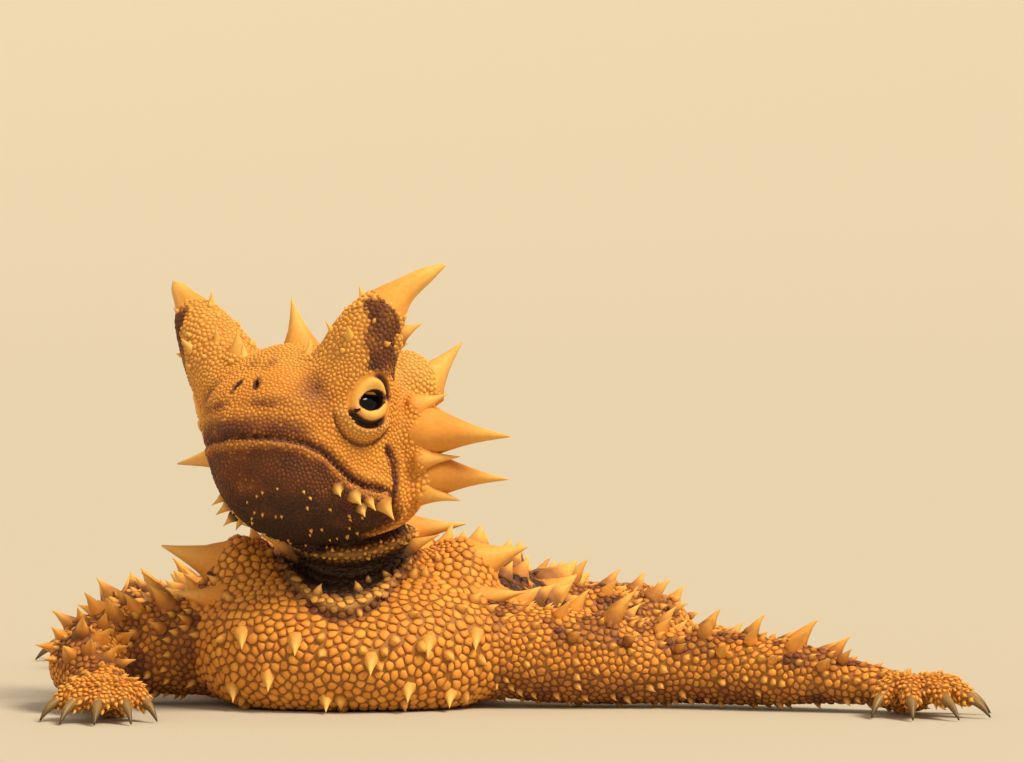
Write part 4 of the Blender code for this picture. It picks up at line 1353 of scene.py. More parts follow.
@dataclass
class Skin:
    """The one skin of the body: the flesh's surface, finer on the head and finest round the eyes."""

    flesh: Flesh
    head: Head
    anatomy: Anatomy
    markings: Markings
    pitch: dict[Part, float] = field(default_factory=lambda: {
        Part.HEAD: 0.33, Part.HORN: 0.40, Part.NECK: 0.50, Part.TRUNK: 0.74, Part.TAIL: 0.74,
        Part.ARM: 0.57, Part.LEG: 0.6, Part.DIGIT: 0.42,
    })
    thorny: dict[Part, float] = field(default_factory=lambda: {
        Part.TRUNK: 0.03, Part.TAIL: 0.06, Part.ARM: 0.10, Part.LEG: 0.10, Part.HORN: 0.03,
        Part.DIGIT: 0.15,
    })

    fine_reach: Row = (12.5, 12.5, 11.0)  # of the head's finer region, each way from its origin
    fine_back: float = 7.0

    def refined(self, obj: Piece, wanted: Array) -> None:
        """Splits the faces whose points are all wanted, and settles the body's points there.

        Args:
            obj: The skin.
            wanted: One truth for each of its points.
        """
        made = bmesh.new()
        made.from_mesh(obj.data)
        made.verts.ensure_lookup_table()
        faces = [f for f in made.faces if all(wanted[v.index] for v in f.verts)]
        edges = list({e for f in faces for e in f.edges})
        bmesh.ops.subdivide_edges(made, edges=edges, cuts=1, use_grid_fill=True)
        made.to_mesh(obj.data)
        made.free()
        points, _, _ = read_mesh(obj)
        near = self.close(points, 1.0)
        points[near] = self.flesh.settled(points[near], rounds=2)
        obj.data.vertices.foreach_set("co", (points * MM).astype(np.float32).ravel())
        obj.data.update()

    def close(self, points: Array, grow: float) -> Array:
        """Whether points lie in the head's finer region, grown by a margin."""
        local = self.head.pose.inward(points)
        reach = np.array(self.fine_reach) + grow
        return np.all(np.abs(local) < reach, axis=1) & (local[:, 1] < self.fine_back + grow)

    def eye_region(self, points: Array) -> Array:
        """Whether points lie close round an eye or along the front of the mouth.

        Args:
            points: Points in millimetres.

        Returns:
            One truth for each point.
        """
        _, half = self.head.halves(points)
        eye = self.head.eye.reach(half) < 3.5
        eye &= lengths(half - np.array(self.head.eye.centre)) < 4.4
        mouth = (self.head.line_distance(half, self.head.mouth_line) < 0.8) & (half[:, 1] < 2.8)
        nostril = (self.head.nostril_reach(half) < 1.6) & (half[:, 1] < -8.0)
        return eye | mouth | nostril

    def build(self) -> tuple[Piece, Surface]:
        """The skin's object and the surface that its scales grow on.

        Returns:
            The object and the surface.
        """
        points, quads = self.flesh.net()
        points = self.eased(points, quads, rounds=2)
        obj = make_object("skin", points, quads)
        self.refined(obj, self.close(points, 0.0))
        points, _, _ = read_mesh(obj)
        self.refined(obj, self.eye_region(points))
        points, triangles, normals = read_mesh(obj)
        points[:, 2] = np.maximum(points[:, 2], FLOOR_CLEARANCE)
        where = self.anatomy.read(points)
        dark, pale = self.markings.of(points, where)
        local, half = self.head.halves(points)
        bare = (self.head.eye.reach(half) < 2.15).astype(float)
        on_head = where["part"] <= Part.HORN.value
        # A low height gives the bare skin the groove colour with its painted shade.
        rise = np.where(on_head, 0.3, 0.08)
        set_marks(obj, dark, pale, np.maximum(rise, 0.9 * bare), np.where(on_head, 0.2, 0.6))
        pitch, thorny = self.scale_sizes(points, local, where["part"])
        return obj, Surface(points, triangles, normals, dark=dark, pale=pale, pitch=pitch,
                            thorny=thorny, bare=bare, **where)

    def scale_sizes(self, points: Array, local: Array, part: Array) -> tuple[Array, Array]:
        """Distance between scales, and the share of them that are pointed, at each point.

        Args:
            points: Points in millimetres.
            local: The same points in the head's frame.
            part: The number of each point's part.

        Returns:
            The distances in millimetres, and the shares.
        """
        pitch = np.array([self.pitch[p] for p in Part])[part]
        thorny = np.array([self.thorny.get(p, 0.0) for p in Part])[part]
        head = part == Part.HEAD.value
        rear = ease(local[:, 1], 0.5, 4.5)
        pitch = np.where(head, pitch + 0.14 * rear, pitch)
        chin = ease(-local[:, 2], 5.4, 6.6) * (1 - ease(-local[:, 2], 8.4, 9.2)) * (1 - rear)
        thorny = np.where(head, 0.05 * chin, thorny)
        ridge = np.clip(self.markings.folds.lift(points), 0, 1)
        return pitch, np.where(part == Part.NECK.value, 0.5 * ridge, thorny)

    def eased(self, points: Array, quads: Array, rounds: int) -> Array:
        """Points drawn half way to the mean of their neighbours, so that the grid leaves no steps.

        Args:
            points: The surface's points.
            quads: Indices of each quad's corners.
            rounds: How many times they are drawn.

        Returns:
            The points, moved.
        """
        pairs = np.concatenate([quads[:, [i, (i + 1) % 4]] for i in range(4)])
        for _ in range(rounds):
            total = np.zeros_like(points)
            np.add.at(total, pairs[:, 0], points[pairs[:, 1]])
            count = np.bincount(pairs[:, 0], minlength=len(points))[:, None]
            points = points * 0.5 + 0.5 * total / np.maximum(count, 1)
        return points


@dataclass
class Coat:
    """Closed scales set close over the skin, each cut to the space between its neighbours.

    Roots are spread at random, thinned until they stand apart by their own size and then pushed apart.
    A scale's outline is the part of the skin nearer to its root than to the others, measured in its own
    plane, and three rings over it make a low dome.
    """

    surface: Surface
    spikes: list[Spike]
    gap: float = 0.05
    bake_patch: float = 0.0015
    largest_piece: int = 4000
    trials: int = 6  # roots tried for each that fits
    sizes: tuple[float, float] = (0.84, 1.1)  # of a scale, against the pitch
    large: float = 1.45  # of a large scale, against the others
    nearest: float = 0.86  # distance at which two roots are thinned, against their size
    pushes: int = 4

    def spread(self, draw: np.random.Generator) -> tuple[Array, Array]:
        """Roots and their sizes, the large ones kept first.

        Args:
            draw: The source of their places.

        Returns:
            The roots, and the distance each keeps.
        """
        surface = self.surface
        corners = surface.points[surface.triangles]
        area = lengths(np.cross(corners[:, 1] - corners[:, 0], corners[:, 2] - corners[:, 0])) / 2
        pitch = surface.pitch[surface.triangles].mean(1)
        weight = area / pitch**2
        count = int(weight.sum() * self.trials)
        face = draw.choice(len(area), count, p=weight / weight.sum())
        a, b = draw.random(count), draw.random(count)
        a, b = np.where(a + b > 1, 1 - a, a), np.where(a + b > 1, 1 - b, b)
        c = corners[face]
        points = c[:, 0] + a[:, None] * (c[:, 1] - c[:, 0]) + b[:, None] * (c[:, 2] - c[:, 0])
        size = pitch[face] * draw.uniform(*self.sizes, count)
        corner = surface.triangles[face, 0]
        grown = ~np.isin(surface.part[corner], (Part.HEAD.value, Part.NECK.value))
        big = (draw.random(count) * self.trials < surface.thorny[corner]) & grown
        size[big] *= self.large
        order = np.argsort(draw.random(count) - 2.0 * big)
        keep = self.thinned(points[order], size[order] * self.nearest)
        return points[order][keep], size[order][keep]

    def thinned(self, points: Array, apart: Array) -> Array:
        """Indices of points kept in turn, each at least the mean of two distances from the others.

        Args:
            points: The roots to choose from.
            apart: The distance each keeps.

        Returns:
            The indices, in rising order.
        """
        tree = search_tree(points)
        dropped = np.zeros(len(points), bool)
        kept = []
        for i, p in enumerate(points):
            if dropped[i]:
                continue
            kept.append(i)
            for _, j, gap in tree.find_range(p, apart[i] * 1.3):
                if gap < 0.5 * (apart[i] + apart[j]):
                    dropped[j] = True
        return np.array(kept)

    def neighbours(self, points: Array, count: int) -> tuple[Array, Array]:
        """Offsets to each point's nearest neighbours, and their indices."""
        tree = search_tree(points)
        index = np.array([[j for _, j, _ in tree.find_n(p, count + 1)[1:]] for p in points])
        return points[index] - points[:, None], index

    def settled(self, points: Array, size: Array, tree: BVHTree) -> tuple[Array, Array]:
        """Roots pushed apart a few times and put back on the surface, with their triangles.

        Args:
            points: The roots.
            size: The distance each keeps.
            tree: The surface's triangles.

        Returns:
            The roots, and each one's triangle.
        """
        for _ in range(self.pushes):
            offset, index = self.neighbours(points, 7)
            gap = lengths(offset)
            wanted = 0.5 * (size[:, None] + size[index]) * 1.08
            push = np.clip(1 - gap / wanted, 0, 1)[:, :, None] * offset / np.maximum(gap, 1e-6)[:, :, None]
            points = points - 0.45 * size[:, None] * push.sum(1) / 2
            hits = [tree.find_nearest(p) for p in points]
            points = np.array([h[0] for h in hits])
        return points, np.array([h[2] for h in hits])

    def covered(self, points: Array) -> Array:
        """Whether points are inside the bare part of a spike.

        Args:
            points: The roots.

        Returns:
            One truth for each root.
        """
        tree = search_tree(points)
        inside = np.zeros(len(points), bool)
        for spike in self.spikes:
            length = float(np.linalg.norm(spike.tip - spike.root))
            axis = (spike.tip - spike.root) / length
            for p, i, _ in tree.find_range(spike.root, length):
                offset = np.array(p) - spike.root
                t = min(max(float(offset @ axis) / length, 0.0), 1.0)
                radius = spike.radius * (0.6 * (1 - t) + 0.4 * (1 - t) ** 3)
                if np.linalg.norm(offset - axis * t * length) < radius:
                    inside[i] = True
        return inside

    def build(self) -> list[Piece]:
        """Every coat piece, as joined meshes of closed scales.

        Returns:
            The new objects.
        """
        draw = np.random.default_rng(SEED)
        surface = self.surface
        points, size = self.spread(draw)
        tree = BVHTree.FromPolygons(surface.points.tolist(), surface.triangles.tolist())
        points, face = self.settled(points, size, tree)
        corner = surface.triangles[face]
        names = ("normals", "lie", "share", "dark", "pale", "pitch", "thorny", "bare")
        mean = {name: getattr(surface, name)[corner].mean(1) for name in names}
        keep = ~self.covered(points) & (mean["bare"] < 0.5)
        offset, index = self.neighbours(points, 14)
        normal = unit(mean["normals"])
        lie = unit(mean["lie"] - (mean["lie"] * normal).sum(1)[:, None] * normal)
        values = {
            "points": points, "size": size, "normal": normal, "lie": lie, "side": np.cross(normal, lie),
            "part": surface.part[corner[:, 0]], "angle": surface.angle[corner[:, 0]],
            "share": mean["share"], "dark": mean["dark"], "pale": mean["pale"],
            "tone": draw.random(len(points)), "turn": draw.uniform(0, math.pi, len(points)),
            "offset": offset, "other": size[index], "large": size > mean["pitch"] * 1.2,
        }
        fine = np.isin(values["part"], (Part.HEAD.value, Part.NECK.value))
        values["large"] |= fine & (draw.random(len(points)) < mean["thorny"])
        values["tone"] = np.where(values["part"] <= Part.HORN.value, 0.45 * values["tone"], values["tone"])
        values["dark"] = np.clip(values["dark"] + draw.normal(0, 0.05, len(points)), 0, 1)
        made = []
        for part in Part:
            chosen = np.flatnonzero(keep & (values["part"] == part.value))
            if not len(chosen):
                continue
            chosen = chosen[np.argsort(values["share"][chosen])]
            pieces = -(-len(chosen) // self.largest_piece)
            for i, group in enumerate(np.array_split(chosen, pieces)):
                name = f"scales_{part.name.lower()}_{i + 1}"
                made.append(self.piece(name, part, {k: v[group] for k, v in values.items()}))
        return made

    def outline(self, v: dict[str, Array], sides: int) -> tuple[Array, Array]:
        """Radius of each scale's outline in its own plane, and the angles where it is read.

        Half way to a neighbour, moved by the two sizes, stands a line across the offset; along each
        direction the nearest such line ends the scale.

        Args:
            v: What is known of each scale.
            sides: Points on an outline.

        Returns:
            The radii and the angles, one row for each scale.
        """
        x = (v["offset"] * v["lie"][:, None]).sum(2)
        y = (v["offset"] * v["side"][:, None]).sum(2)
        gap = np.hypot(x, y)
        edge = (gap**2 + (0.25 * (v["size"][:, None] ** 2 - v["other"] ** 2))) / (2 * gap)
        angles = v["turn"][:, None] + turns(sides)
        toward = x[:, :, None] * np.cos(angles)[:, None] + y[:, :, None] * np.sin(angles)[:, None]
        toward = toward / gap[:, :, None]
        reach = np.where(toward > 0.12, edge[:, :, None] / np.maximum(toward, 0.12), 9.0).min(1)
        return np.clip(reach, 0.12, v["size"][:, None] * 0.95) - self.gap / 2, angles

    def piece(self, name: str, part: Part, v: dict[str, Array]) -> Piece:
        """One coat piece: a low dome over each outline, or a small thorn on the large ones.

        Args:
            name: The piece's name.
            part: The part that it is on.
            v: What is known of each scale.

        Returns:
            The new object.
        """
        sides = 7 if part is Part.TRUNK else 6
        fine = part in (Part.HEAD, Part.HORN, Part.DIGIT, Part.NECK)
        reach, angles = self.outline(v, sides)
        count = len(reach)
        radius, large = reach.mean(1), v["large"]
        keel = {Part.HEAD: 0.1, Part.HORN: 0.35, Part.NECK: 0.5, Part.DIGIT: 1.6}.get(part, 0.45)
        height = np.where(large, radius * 1.45, radius * (0.4 + 0.4 * keel * v["tone"]))
        lean = radius * (0.12 + 0.35 * keel) + radius * 0.45 * large
        domed = ((1.0, -0.35), (0.74, 0.72)) if fine else ((1.0, -0.35), (0.92, 0.42), (0.6, 0.86))
        thorn = ((1.0, -0.25), (0.52, 0.45)) if fine else ((1.0, -0.25), (0.72, 0.22), (0.36, 0.62))
        across = v["lie"][:, None] * np.cos(angles)[:, :, None]
        across = across + v["side"][:, None] * np.sin(angles)[:, :, None]
        levels = []
        for low, sharp in zip(domed, thorn):
            scale, lift = np.where(large[:, None], sharp, low).T
            centre = v["points"] + v["normal"] * (height * lift)[:, None]
            centre = centre + v["lie"] * (lean * np.maximum(lift, 0.0) ** 2)[:, None]
            levels.append(centre[:, None] + across * (reach * scale[:, None])[:, :, None])
        peak = v["points"] + v["normal"] * height[:, None] + v["lie"] * (lean * 1.3)[:, None]
        foot = v["points"] - v["normal"] * (0.3 * height)[:, None]
        walls = np.stack(levels, 1).reshape(count, -1, 3)
        points = np.concatenate([walls, peak[:, None], foot[:, None]], 1)
        points[:, :, 2] = np.maximum(points[:, :, 2], FLOOR_CLEARANCE)
        rings = len(domed)
        obj = make_object(name, points.reshape(-1, 3), closed_rings(rings, sides, count))
        # The rings' heights grade each scale from the groove colour and its painted shade at the foot.
        foot_rise = 0.3 if part in (Part.HEAD, Part.HORN) else 0.0
        rise = np.concatenate([np.repeat(np.linspace(foot_rise, 0.85, rings), sides), [1.0, foot_rise]])
        tip = 0.95 if part in (Part.HEAD, Part.NECK) else 0.75
        pale = v["pale"][:, None] + np.where(large, tip, 0.0)[:, None] * rise[None] ** 1.5
        pale = np.clip(pale, 0, 1)
        dark = v["dark"][:, None] * (1 - 0.8 * large[:, None] * rise[None])
        tone = np.broadcast_to(v["tone"][:, None], pale.shape)
        set_marks(obj, dark.ravel(), pale.ravel(), np.tile(rise, count), tone.ravel())
        set_bake_map(obj, v, sides, np.linspace(1.0, 0.5, rings) * self.bake_patch)
        return obj


@dataclass
class SpikeMaker:
    """Turns the spikes' rows into joined meshes: tapered, bowed and fluted towards the root."""

    spikes: list[Spike]
    anatomy: Anatomy
    markings: Markings
    sides: int = 12
    rings: int = 9
    flutes: int = 6
    bake_patch: float = 0.004

    def build(self, kind: str, draw: np.random.Generator) -> Piece:
        """One piece with every spike of a kind.

        The radius falls as 0.6 (1 - u) + 0.4 (1 - u)^3 with the share u of the length, the line is
        straight plus the bow times 4 u (1 - u), and shallow flutes fade towards the tip.

        Args:
            kind: The kind of spike.
            draw: The source of their small differences.

        Returns:
            The new object.
        """
        chosen = [spike for spike in self.spikes if spike.kind == kind]
        roots, tips, bows, radii, scaly = (np.array([getattr(spike, name) for spike in chosen])
                                           for name in ("root", "tip", "bow", "radius", "scaly"))
        radii *= 1.08
        count = len(chosen)
        axis = unit(tips - roots)
        length = lengths(tips - roots)
        first = unit(np.cross(axis, np.where(np.abs(axis[:, 2:]) < 0.9, [[0, 0, 1.0]], [[1.0, 0, 0]])))
        second = np.cross(axis, first)
        u = np.linspace(0.0, 0.985, self.rings) ** 0.9
        start = -0.5 * radii / length
        along = start[:, None] * (1 - u)[None] + u[None]
        v = np.clip(along, 0, 1)
        taper = 0.6 * (1 - v) + 0.4 * (1 - v) ** 3 + 0.02
        line = roots[:, None] + axis[:, None] * (along * length[:, None])[:, :, None]
        line = line + bows[:, None] * (4 * v * (1 - v) * 0.8)[:, :, None]
        turn = turns(self.sides)
        phase = draw.uniform(0, 2 * math.pi, count)
        flute = 1 + 0.09 * np.cos(self.flutes * turn[None] + phase[:, None])[:, None] * (1 - v)[:, :, None]
        rough = 1 + 0.035 * draw.normal(0, 1, (count, self.rings, self.sides)) * (1 - v)[:, :, None]
        radius = (radii[:, None] * taper)[:, :, None] * flute * rough
        ring = (first[:, None, None] * np.cos(turn)[None, None, :, None]
                + second[:, None, None] * np.sin(turn)[None, None, :, None])
        grid = line[:, :, None] + ring * radius[:, :, :, None]
        points = np.concatenate([grid.reshape(count, -1, 3), tips[:, None],
                                 (roots + axis * (start * length)[:, None])[:, None]], axis=1)
        points[:, :, 2] = np.maximum(points[:, :, 2], FLOOR_CLEARANCE)
        faces = closed_rings(self.rings, self.sides, count)
        obj = make_object(f"spikes_{kind}", points.reshape(-1, 3), faces)
        ends = [np.ones((count, 1)), np.zeros((count, 1))]
        height = np.concatenate([np.repeat(v, self.sides, axis=1), *ends], 1)
        where = self.anatomy.read(roots)
        self.colour(obj, self.markings.of(roots, where)[0], height, scaly, draw)
        set_bake_map(obj, where, self.sides, (1 - 0.95 * u) * self.bake_patch)
        return obj

    def colour(self, obj: Piece, brown: Array, height: Array, scaly: Array,
               draw: np.random.Generator) -> None:
        """Marks of the spikes: the skin's brown and painted shade at the foot, cream towards the tip.

        Args:
            obj: The piece.
            brown: The skin's brown and painted shade at each root.
            height: Each point's share of its spike's length.
            scaly: The share of each spike that small scales cover.
            draw: The source of the spikes' tones.
        """
        pale = 0.1 + 0.9 * ease(height - scaly[:, None], -0.2, 0.5)
        dark = brown[:, None] * (1 - ease(height, 0.1, 0.55))
        tone = np.broadcast_to(draw.random(len(brown))[:, None], height.shape)
        set_marks(obj, dark.ravel(), pale.ravel(), (0.7 + 0.3 * height).ravel(), tone.ravel())


BODY_TUBES = [(Part.TRUNK, TRUNK), (Part.TAIL, TAIL), (Part.NECK, NECK)]
BODY_TUBES += [(Part.ARM if name.startswith("arm") else Part.LEG, tube) for name, tube in LIMBS.items()]


@dataclass
class Paw:
    """A hand or foot: a low palm and five digits that end in hooked claws.

    A digit is its angle from the heading and its length. A row of a digit's profile, or of a claw's, is
    a share of that length, the height over the floor and the thickness.
    """

    wrist: Row
    heading: float
    widening: float
    side: int
    digits: Sequence[Row] = ((-64.0, 7.0), (-32.0, 8.6), (-4.0, 9.2), (24.0, 8.8), (60.0, 7.2))
    radius: float = 1.0
    palm: Row = (2.5, 2.5, 1.7)
    palm_height: float = 1.6
    profile: Sequence[Row] = (
        (0.0, 1.4, 1.0), (0.20, 2.2, 1.1), (0.40, 2.6, 1.12), (0.58, 2.1, 1.06), (0.72, 1.5, 0.85),
    )
    claw: Sequence[Row] = (
        (0.58, 1.9, 0.56), (0.70, 1.75, 0.5), (0.81, 1.4, 0.38), (0.90, 0.85, 0.24), (0.98, 0.15, 0.06),
    )

    def __post_init__(self) -> None:
        """Sets the palm's middle a little before the wrist."""
        yaw = math.radians(self.heading)
        self.centre = np.array(self.wrist) + 0.8 * np.array([math.cos(yaw), math.sin(yaw)])

    def along(self, rows: Sequence[Row], spread: float, reach: float) -> list[Row]:
        """Stations of a digit or claw, from shares of its length, heights and thicknesses."""
        angle = math.radians(self.heading + spread * self.widening * self.side)
        way = np.array([math.cos(angle), math.sin(angle)])
        return [(*(self.centre + way * reach * share), height, *(self.radius * thick,) * 3)
                for share, height, thick in rows]

    def forms(self) -> list[Form]:
        """The palm and the fleshy digits."""
        digits = [Tube(self.along(self.profile, *row), samples=24, inset=0.12, width=0.35)
                  for row in self.digits]
        palm = Ball((*self.centre, self.palm_height), self.palm, width=1.0)
        return [palm, *digits]

    def claws(self) -> tuple[Array, Array]:
        """The five claws, each a tube of round sections that narrows to a point along its own curve.

        Returns:
            The points, and the indices of each triangle's corners.
        """
        sides, rings = 14, 12
        points = []
        for row in self.digits:
            tube = Tube(self.along(self.claw, *row), inset=0.0, samples=24)
            s = np.repeat(np.linspace(0, tube.length, rings), sides)
            wall = tube.points(s, np.tile(turns(sides), rings))
            points.append(np.concatenate([wall, tube.line[[-1, 0]]]))
        return np.concatenate(points), closed_rings(rings, sides, len(points))


PAWS = {
    "hand_left": Paw((45.5, -22.0), -62.0, 0.9, 1),
    "hand_right": Paw((-21.2, -26.2), -96.0, 0.72, -1),
    "foot_left": Paw((27.6, 37.8), 20.0, 1.0, 1),
    "foot_right": Paw((-24.4, 41.4), 156.0, 1.0, -1),
}


def linear(code: str) -> tuple[float, float, float, float]:
    """A colour written as an sRGB hex value, as the linear numbers that a shader takes."""
    parts = [int(code[i:i + 2], 16) / 255 for i in (1, 3, 5)]
    channels = [c / 12.92 if c <= 0.04045 else ((c + 0.055) / 1.055) ** 2.4 for c in parts]
    return (*channels, 1.0)


def feed(tree: Tree, node: bpy.types.Node, inputs: dict) -> None:
    """Sets the inputs of a node.

    Args:
        tree: The material's node tree.
        node: The node.
        inputs: For each input's name or number, a value or the output that feeds it.
    """
    for name, value in inputs.items():
        if isinstance(value, Socket):
            tree.links.new(value, node.inputs[name])
        else:
            node.inputs[name].default_value = value


def add_node(tree: Tree, kind: str, inputs: dict, output: int | str = 0,
             **settings: object) -> Socket:
    """Adds a node with its settings and links.

    Args:
        tree: The material's node tree.
        kind: The node's type, without the words that all types start with.
        inputs: For each input's name or number, a value or the output that feeds it.
        output: The name or number of the output that is wanted.
        settings: Values of the node's own properties.

    Returns:
        The wanted output.
    """
    node = tree.nodes.new(f"ShaderNode{kind}")
    for name, value in settings.items():
        setattr(node, name, value)
    feed(tree, node, inputs)
    return node.outputs[output]


MIX_FACTOR, MIX_A, MIX_B, MIX_COLOUR = 0, 6, 7, 2


def new_material(name: str) -> tuple[bpy.types.Material, Tree, bpy.types.Node]:
    """A material with its node tree and its shader."""
    made = bpy.data.materials.new(name)
    made.use_nodes = True
    return made, made.node_tree, made.node_tree.nodes["Principled BSDF"]


KERATIN_IOR = 1.54
WATER_IOR = 1.336


@dataclass(frozen=True)
class HideFinish:
    """Dry keratin scales over living skin: matt, golden tan, with cream points, brown patches and painted
    shade in the gaps.
    """

    name: str = "scaly_hide"
    sand: str = "#EEA843"
    amber: str = "#C47727"
    # dark skin between the scales, with painted shade towards each scale's foot
    groove: str = "#4E2A0C"
    russet: str = "#783E19"
    brown: str = "#2B1507"
    cream: str = "#E8B55C"
    roughness: float = 0.62
    sheen: float = 0.4
    cloud: float = 4.0  # millimetres between the soft clouds of sand and amber
    wrinkle: float = 0.35  # millimetres between the fine creases on a scale
    crease_depth: float = 0.06

    def build(self) -> bpy.types.Material:
        """The material, driven by the marks stored at each vertex.

        Returns:
            The material, whose tan turns russet and then brown with the first mark, cream with the second,
            and the groove colour where the third is low, which is dark skin between the scales and painted
            shade towards each scale's foot. The fourth varies the tan from scale to scale.
        """
        made, tree, shader = new_material(self.name)
        marks = add_node(tree, "Attribute", {}, "Color", attribute_name="marks")
        dark, pale, rise = add_node(tree, "SeparateColor", {"Color": marks}).node.outputs[:3]
        tone = marks.node.outputs["Alpha"]
        place = add_node(tree, "TexCoord", {}, "Object")
        cloud, grain = (
            add_node(tree, "TexNoise", {"Vector": place, "Scale": 1 / (size * MM), "Detail": detail})
            for size, detail in ((self.cloud, 3.0), (self.wrinkle, 2.0))
        )
        shade = add_node(tree, "Math", {0: tone, 1: cloud}, operation="ADD", use_clamp=True)
        shade = add_node(tree, "Math", {0: shade, 1: 0.9, 2: -0.3}, operation="MULTIPLY_ADD", use_clamp=True)
        # The first mark holds brown markings and painted shade alike.
        patch, core = (add_node(tree, "MapRange", {"Value": dark, "From Min": low, "From Max": high})
                       for low, high in ((0.05, 0.55), (0.5, 0.95)))
        # Painted shade: the lower a point lies in its scale, the more groove colour it takes.
        between = add_node(tree, "MapRange", {"Value": rise, "From Min": 0.05, "From Max": 0.7,
                                              "To Min": 0.62, "To Max": 0.0})
        colour = linear(self.sand)
        for share, layer in ((shade, self.amber), (patch, self.russet), (core, self.brown),
                             (pale, self.cream), (between, self.groove)):
            colour = add_node(tree, "Mix", {MIX_FACTOR: share, MIX_A: colour, MIX_B: linear(layer)},
                              MIX_COLOUR, data_type="RGBA")
        colour = add_node(tree, "Mix", {MIX_FACTOR: 0.28, MIX_A: colour, MIX_B: grain},
                          MIX_COLOUR, data_type="RGBA", blend_type="SOFT_LIGHT")
        creases = {"Height": grain, "Strength": 0.35, "Distance": self.crease_depth * MM}
        feed(tree, shader, {
            "Base Color": colour,
            "Normal": add_node(tree, "Bump", creases),
            "Roughness": self.roughness,
            "Specular IOR Level": self.sheen,
            "IOR": KERATIN_IOR,
        })
        return made


@dataclass(frozen=True)
class ClawFinish:
    """Solid keratin, as in a claw: smooth olive brown with long streaks, darker towards the tip."""

    name: str = "claw_keratin"
    root: str = "#86683A"
    tip: str = "#33291A"
    roughness: float = 0.48
    streak: float = 0.5  # millimetres between the long growth streaks
    streak_depth: float = 0.05

    def build(self) -> bpy.types.Material:
        """The material, read in the object's own coordinates: a claw's tip is the part nearest the floor.

        Returns:
            The material.
        """
        made, tree, shader = new_material(self.name)
        place = add_node(tree, "TexCoord", {}, "Object")
        height = add_node(tree, "SeparateXYZ", {0: place}, "Z")
        streaks = add_node(tree, "TexNoise",
                           {"Vector": place, "Scale": 1 / (self.streak * MM), "Detail": 3.0})
        share = add_node(tree, "MapRange", {"Value": height, "From Min": 0.2 * MM, "From Max": 1.6 * MM})
        ends = {MIX_FACTOR: share, MIX_A: linear(self.tip), MIX_B: linear(self.root)}
        colour = add_node(tree, "Mix", ends, MIX_COLOUR, data_type="RGBA")
        colour = add_node(tree, "Mix", {MIX_FACTOR: 0.4, MIX_A: colour, MIX_B: streaks},
                          MIX_COLOUR, data_type="RGBA", blend_type="SOFT_LIGHT")
        ridges = {"Height": streaks, "Strength": 0.3, "Distance": self.streak_depth * MM}
        feed(tree, shader, {
            "Base Color": colour,
            "Normal": add_node(tree, "Bump", ridges),
            "Roughness": self.roughness,
            "IOR": KERATIN_IOR,
        })
        return made


@dataclass(frozen=True)
class EyeFinish:
    """A wet eyeball, as clear as water over near black: it gives small sharp lights in a dark hole."""

    name: str = "wet_eye"
    pupil: str = "#030202"
    iris: str = "#0E0704"
    gold: str = "#5A3812"
    roughness: float = 0.08

    def build(self) -> bpy.types.Material:
        """The material, read from the share of the ball's front stored at each vertex.

        Returns:
            The material.
        """
        made, tree, shader = new_material(self.name)
        marks = add_node(tree, "Attribute", {}, "Color", attribute_name="marks")
        ring = add_node(tree, "SeparateColor", {"Color": marks}, "Red")
        colour = linear(self.pupil)
        for low, high, layer in ((0.30, 0.36, self.iris), (0.44, 0.50, self.gold)):
            share = add_node(tree, "MapRange", {"Value": ring, "From Min": low, "From Max": high},
                             interpolation_type="SMOOTHSTEP")
            colour = add_node(tree, "Mix", {MIX_FACTOR: share, MIX_A: colour, MIX_B: linear(layer)},
                              MIX_COLOUR, data_type="RGBA")
        feed(tree, shader, {"Base Color": colour, "Roughness": self.roughness, "IOR": WATER_IOR})
        return made


@dataclass(frozen=True)
class FloorFinish:
    """Matt pale paper under the animal, which takes its shadow without a shine."""

    name: str = "pale_floor"
    colour: str = "#BDBAB2"
    roughness: float = 0.9

    def build(self) -> bpy.types.Material:
        """The material, of one plain colour."""
        made, tree, shader = new_material(self.name)
        feed(tree, shader, {"Base Color": linear(self.colour), "Roughness": self.roughness})
        return made


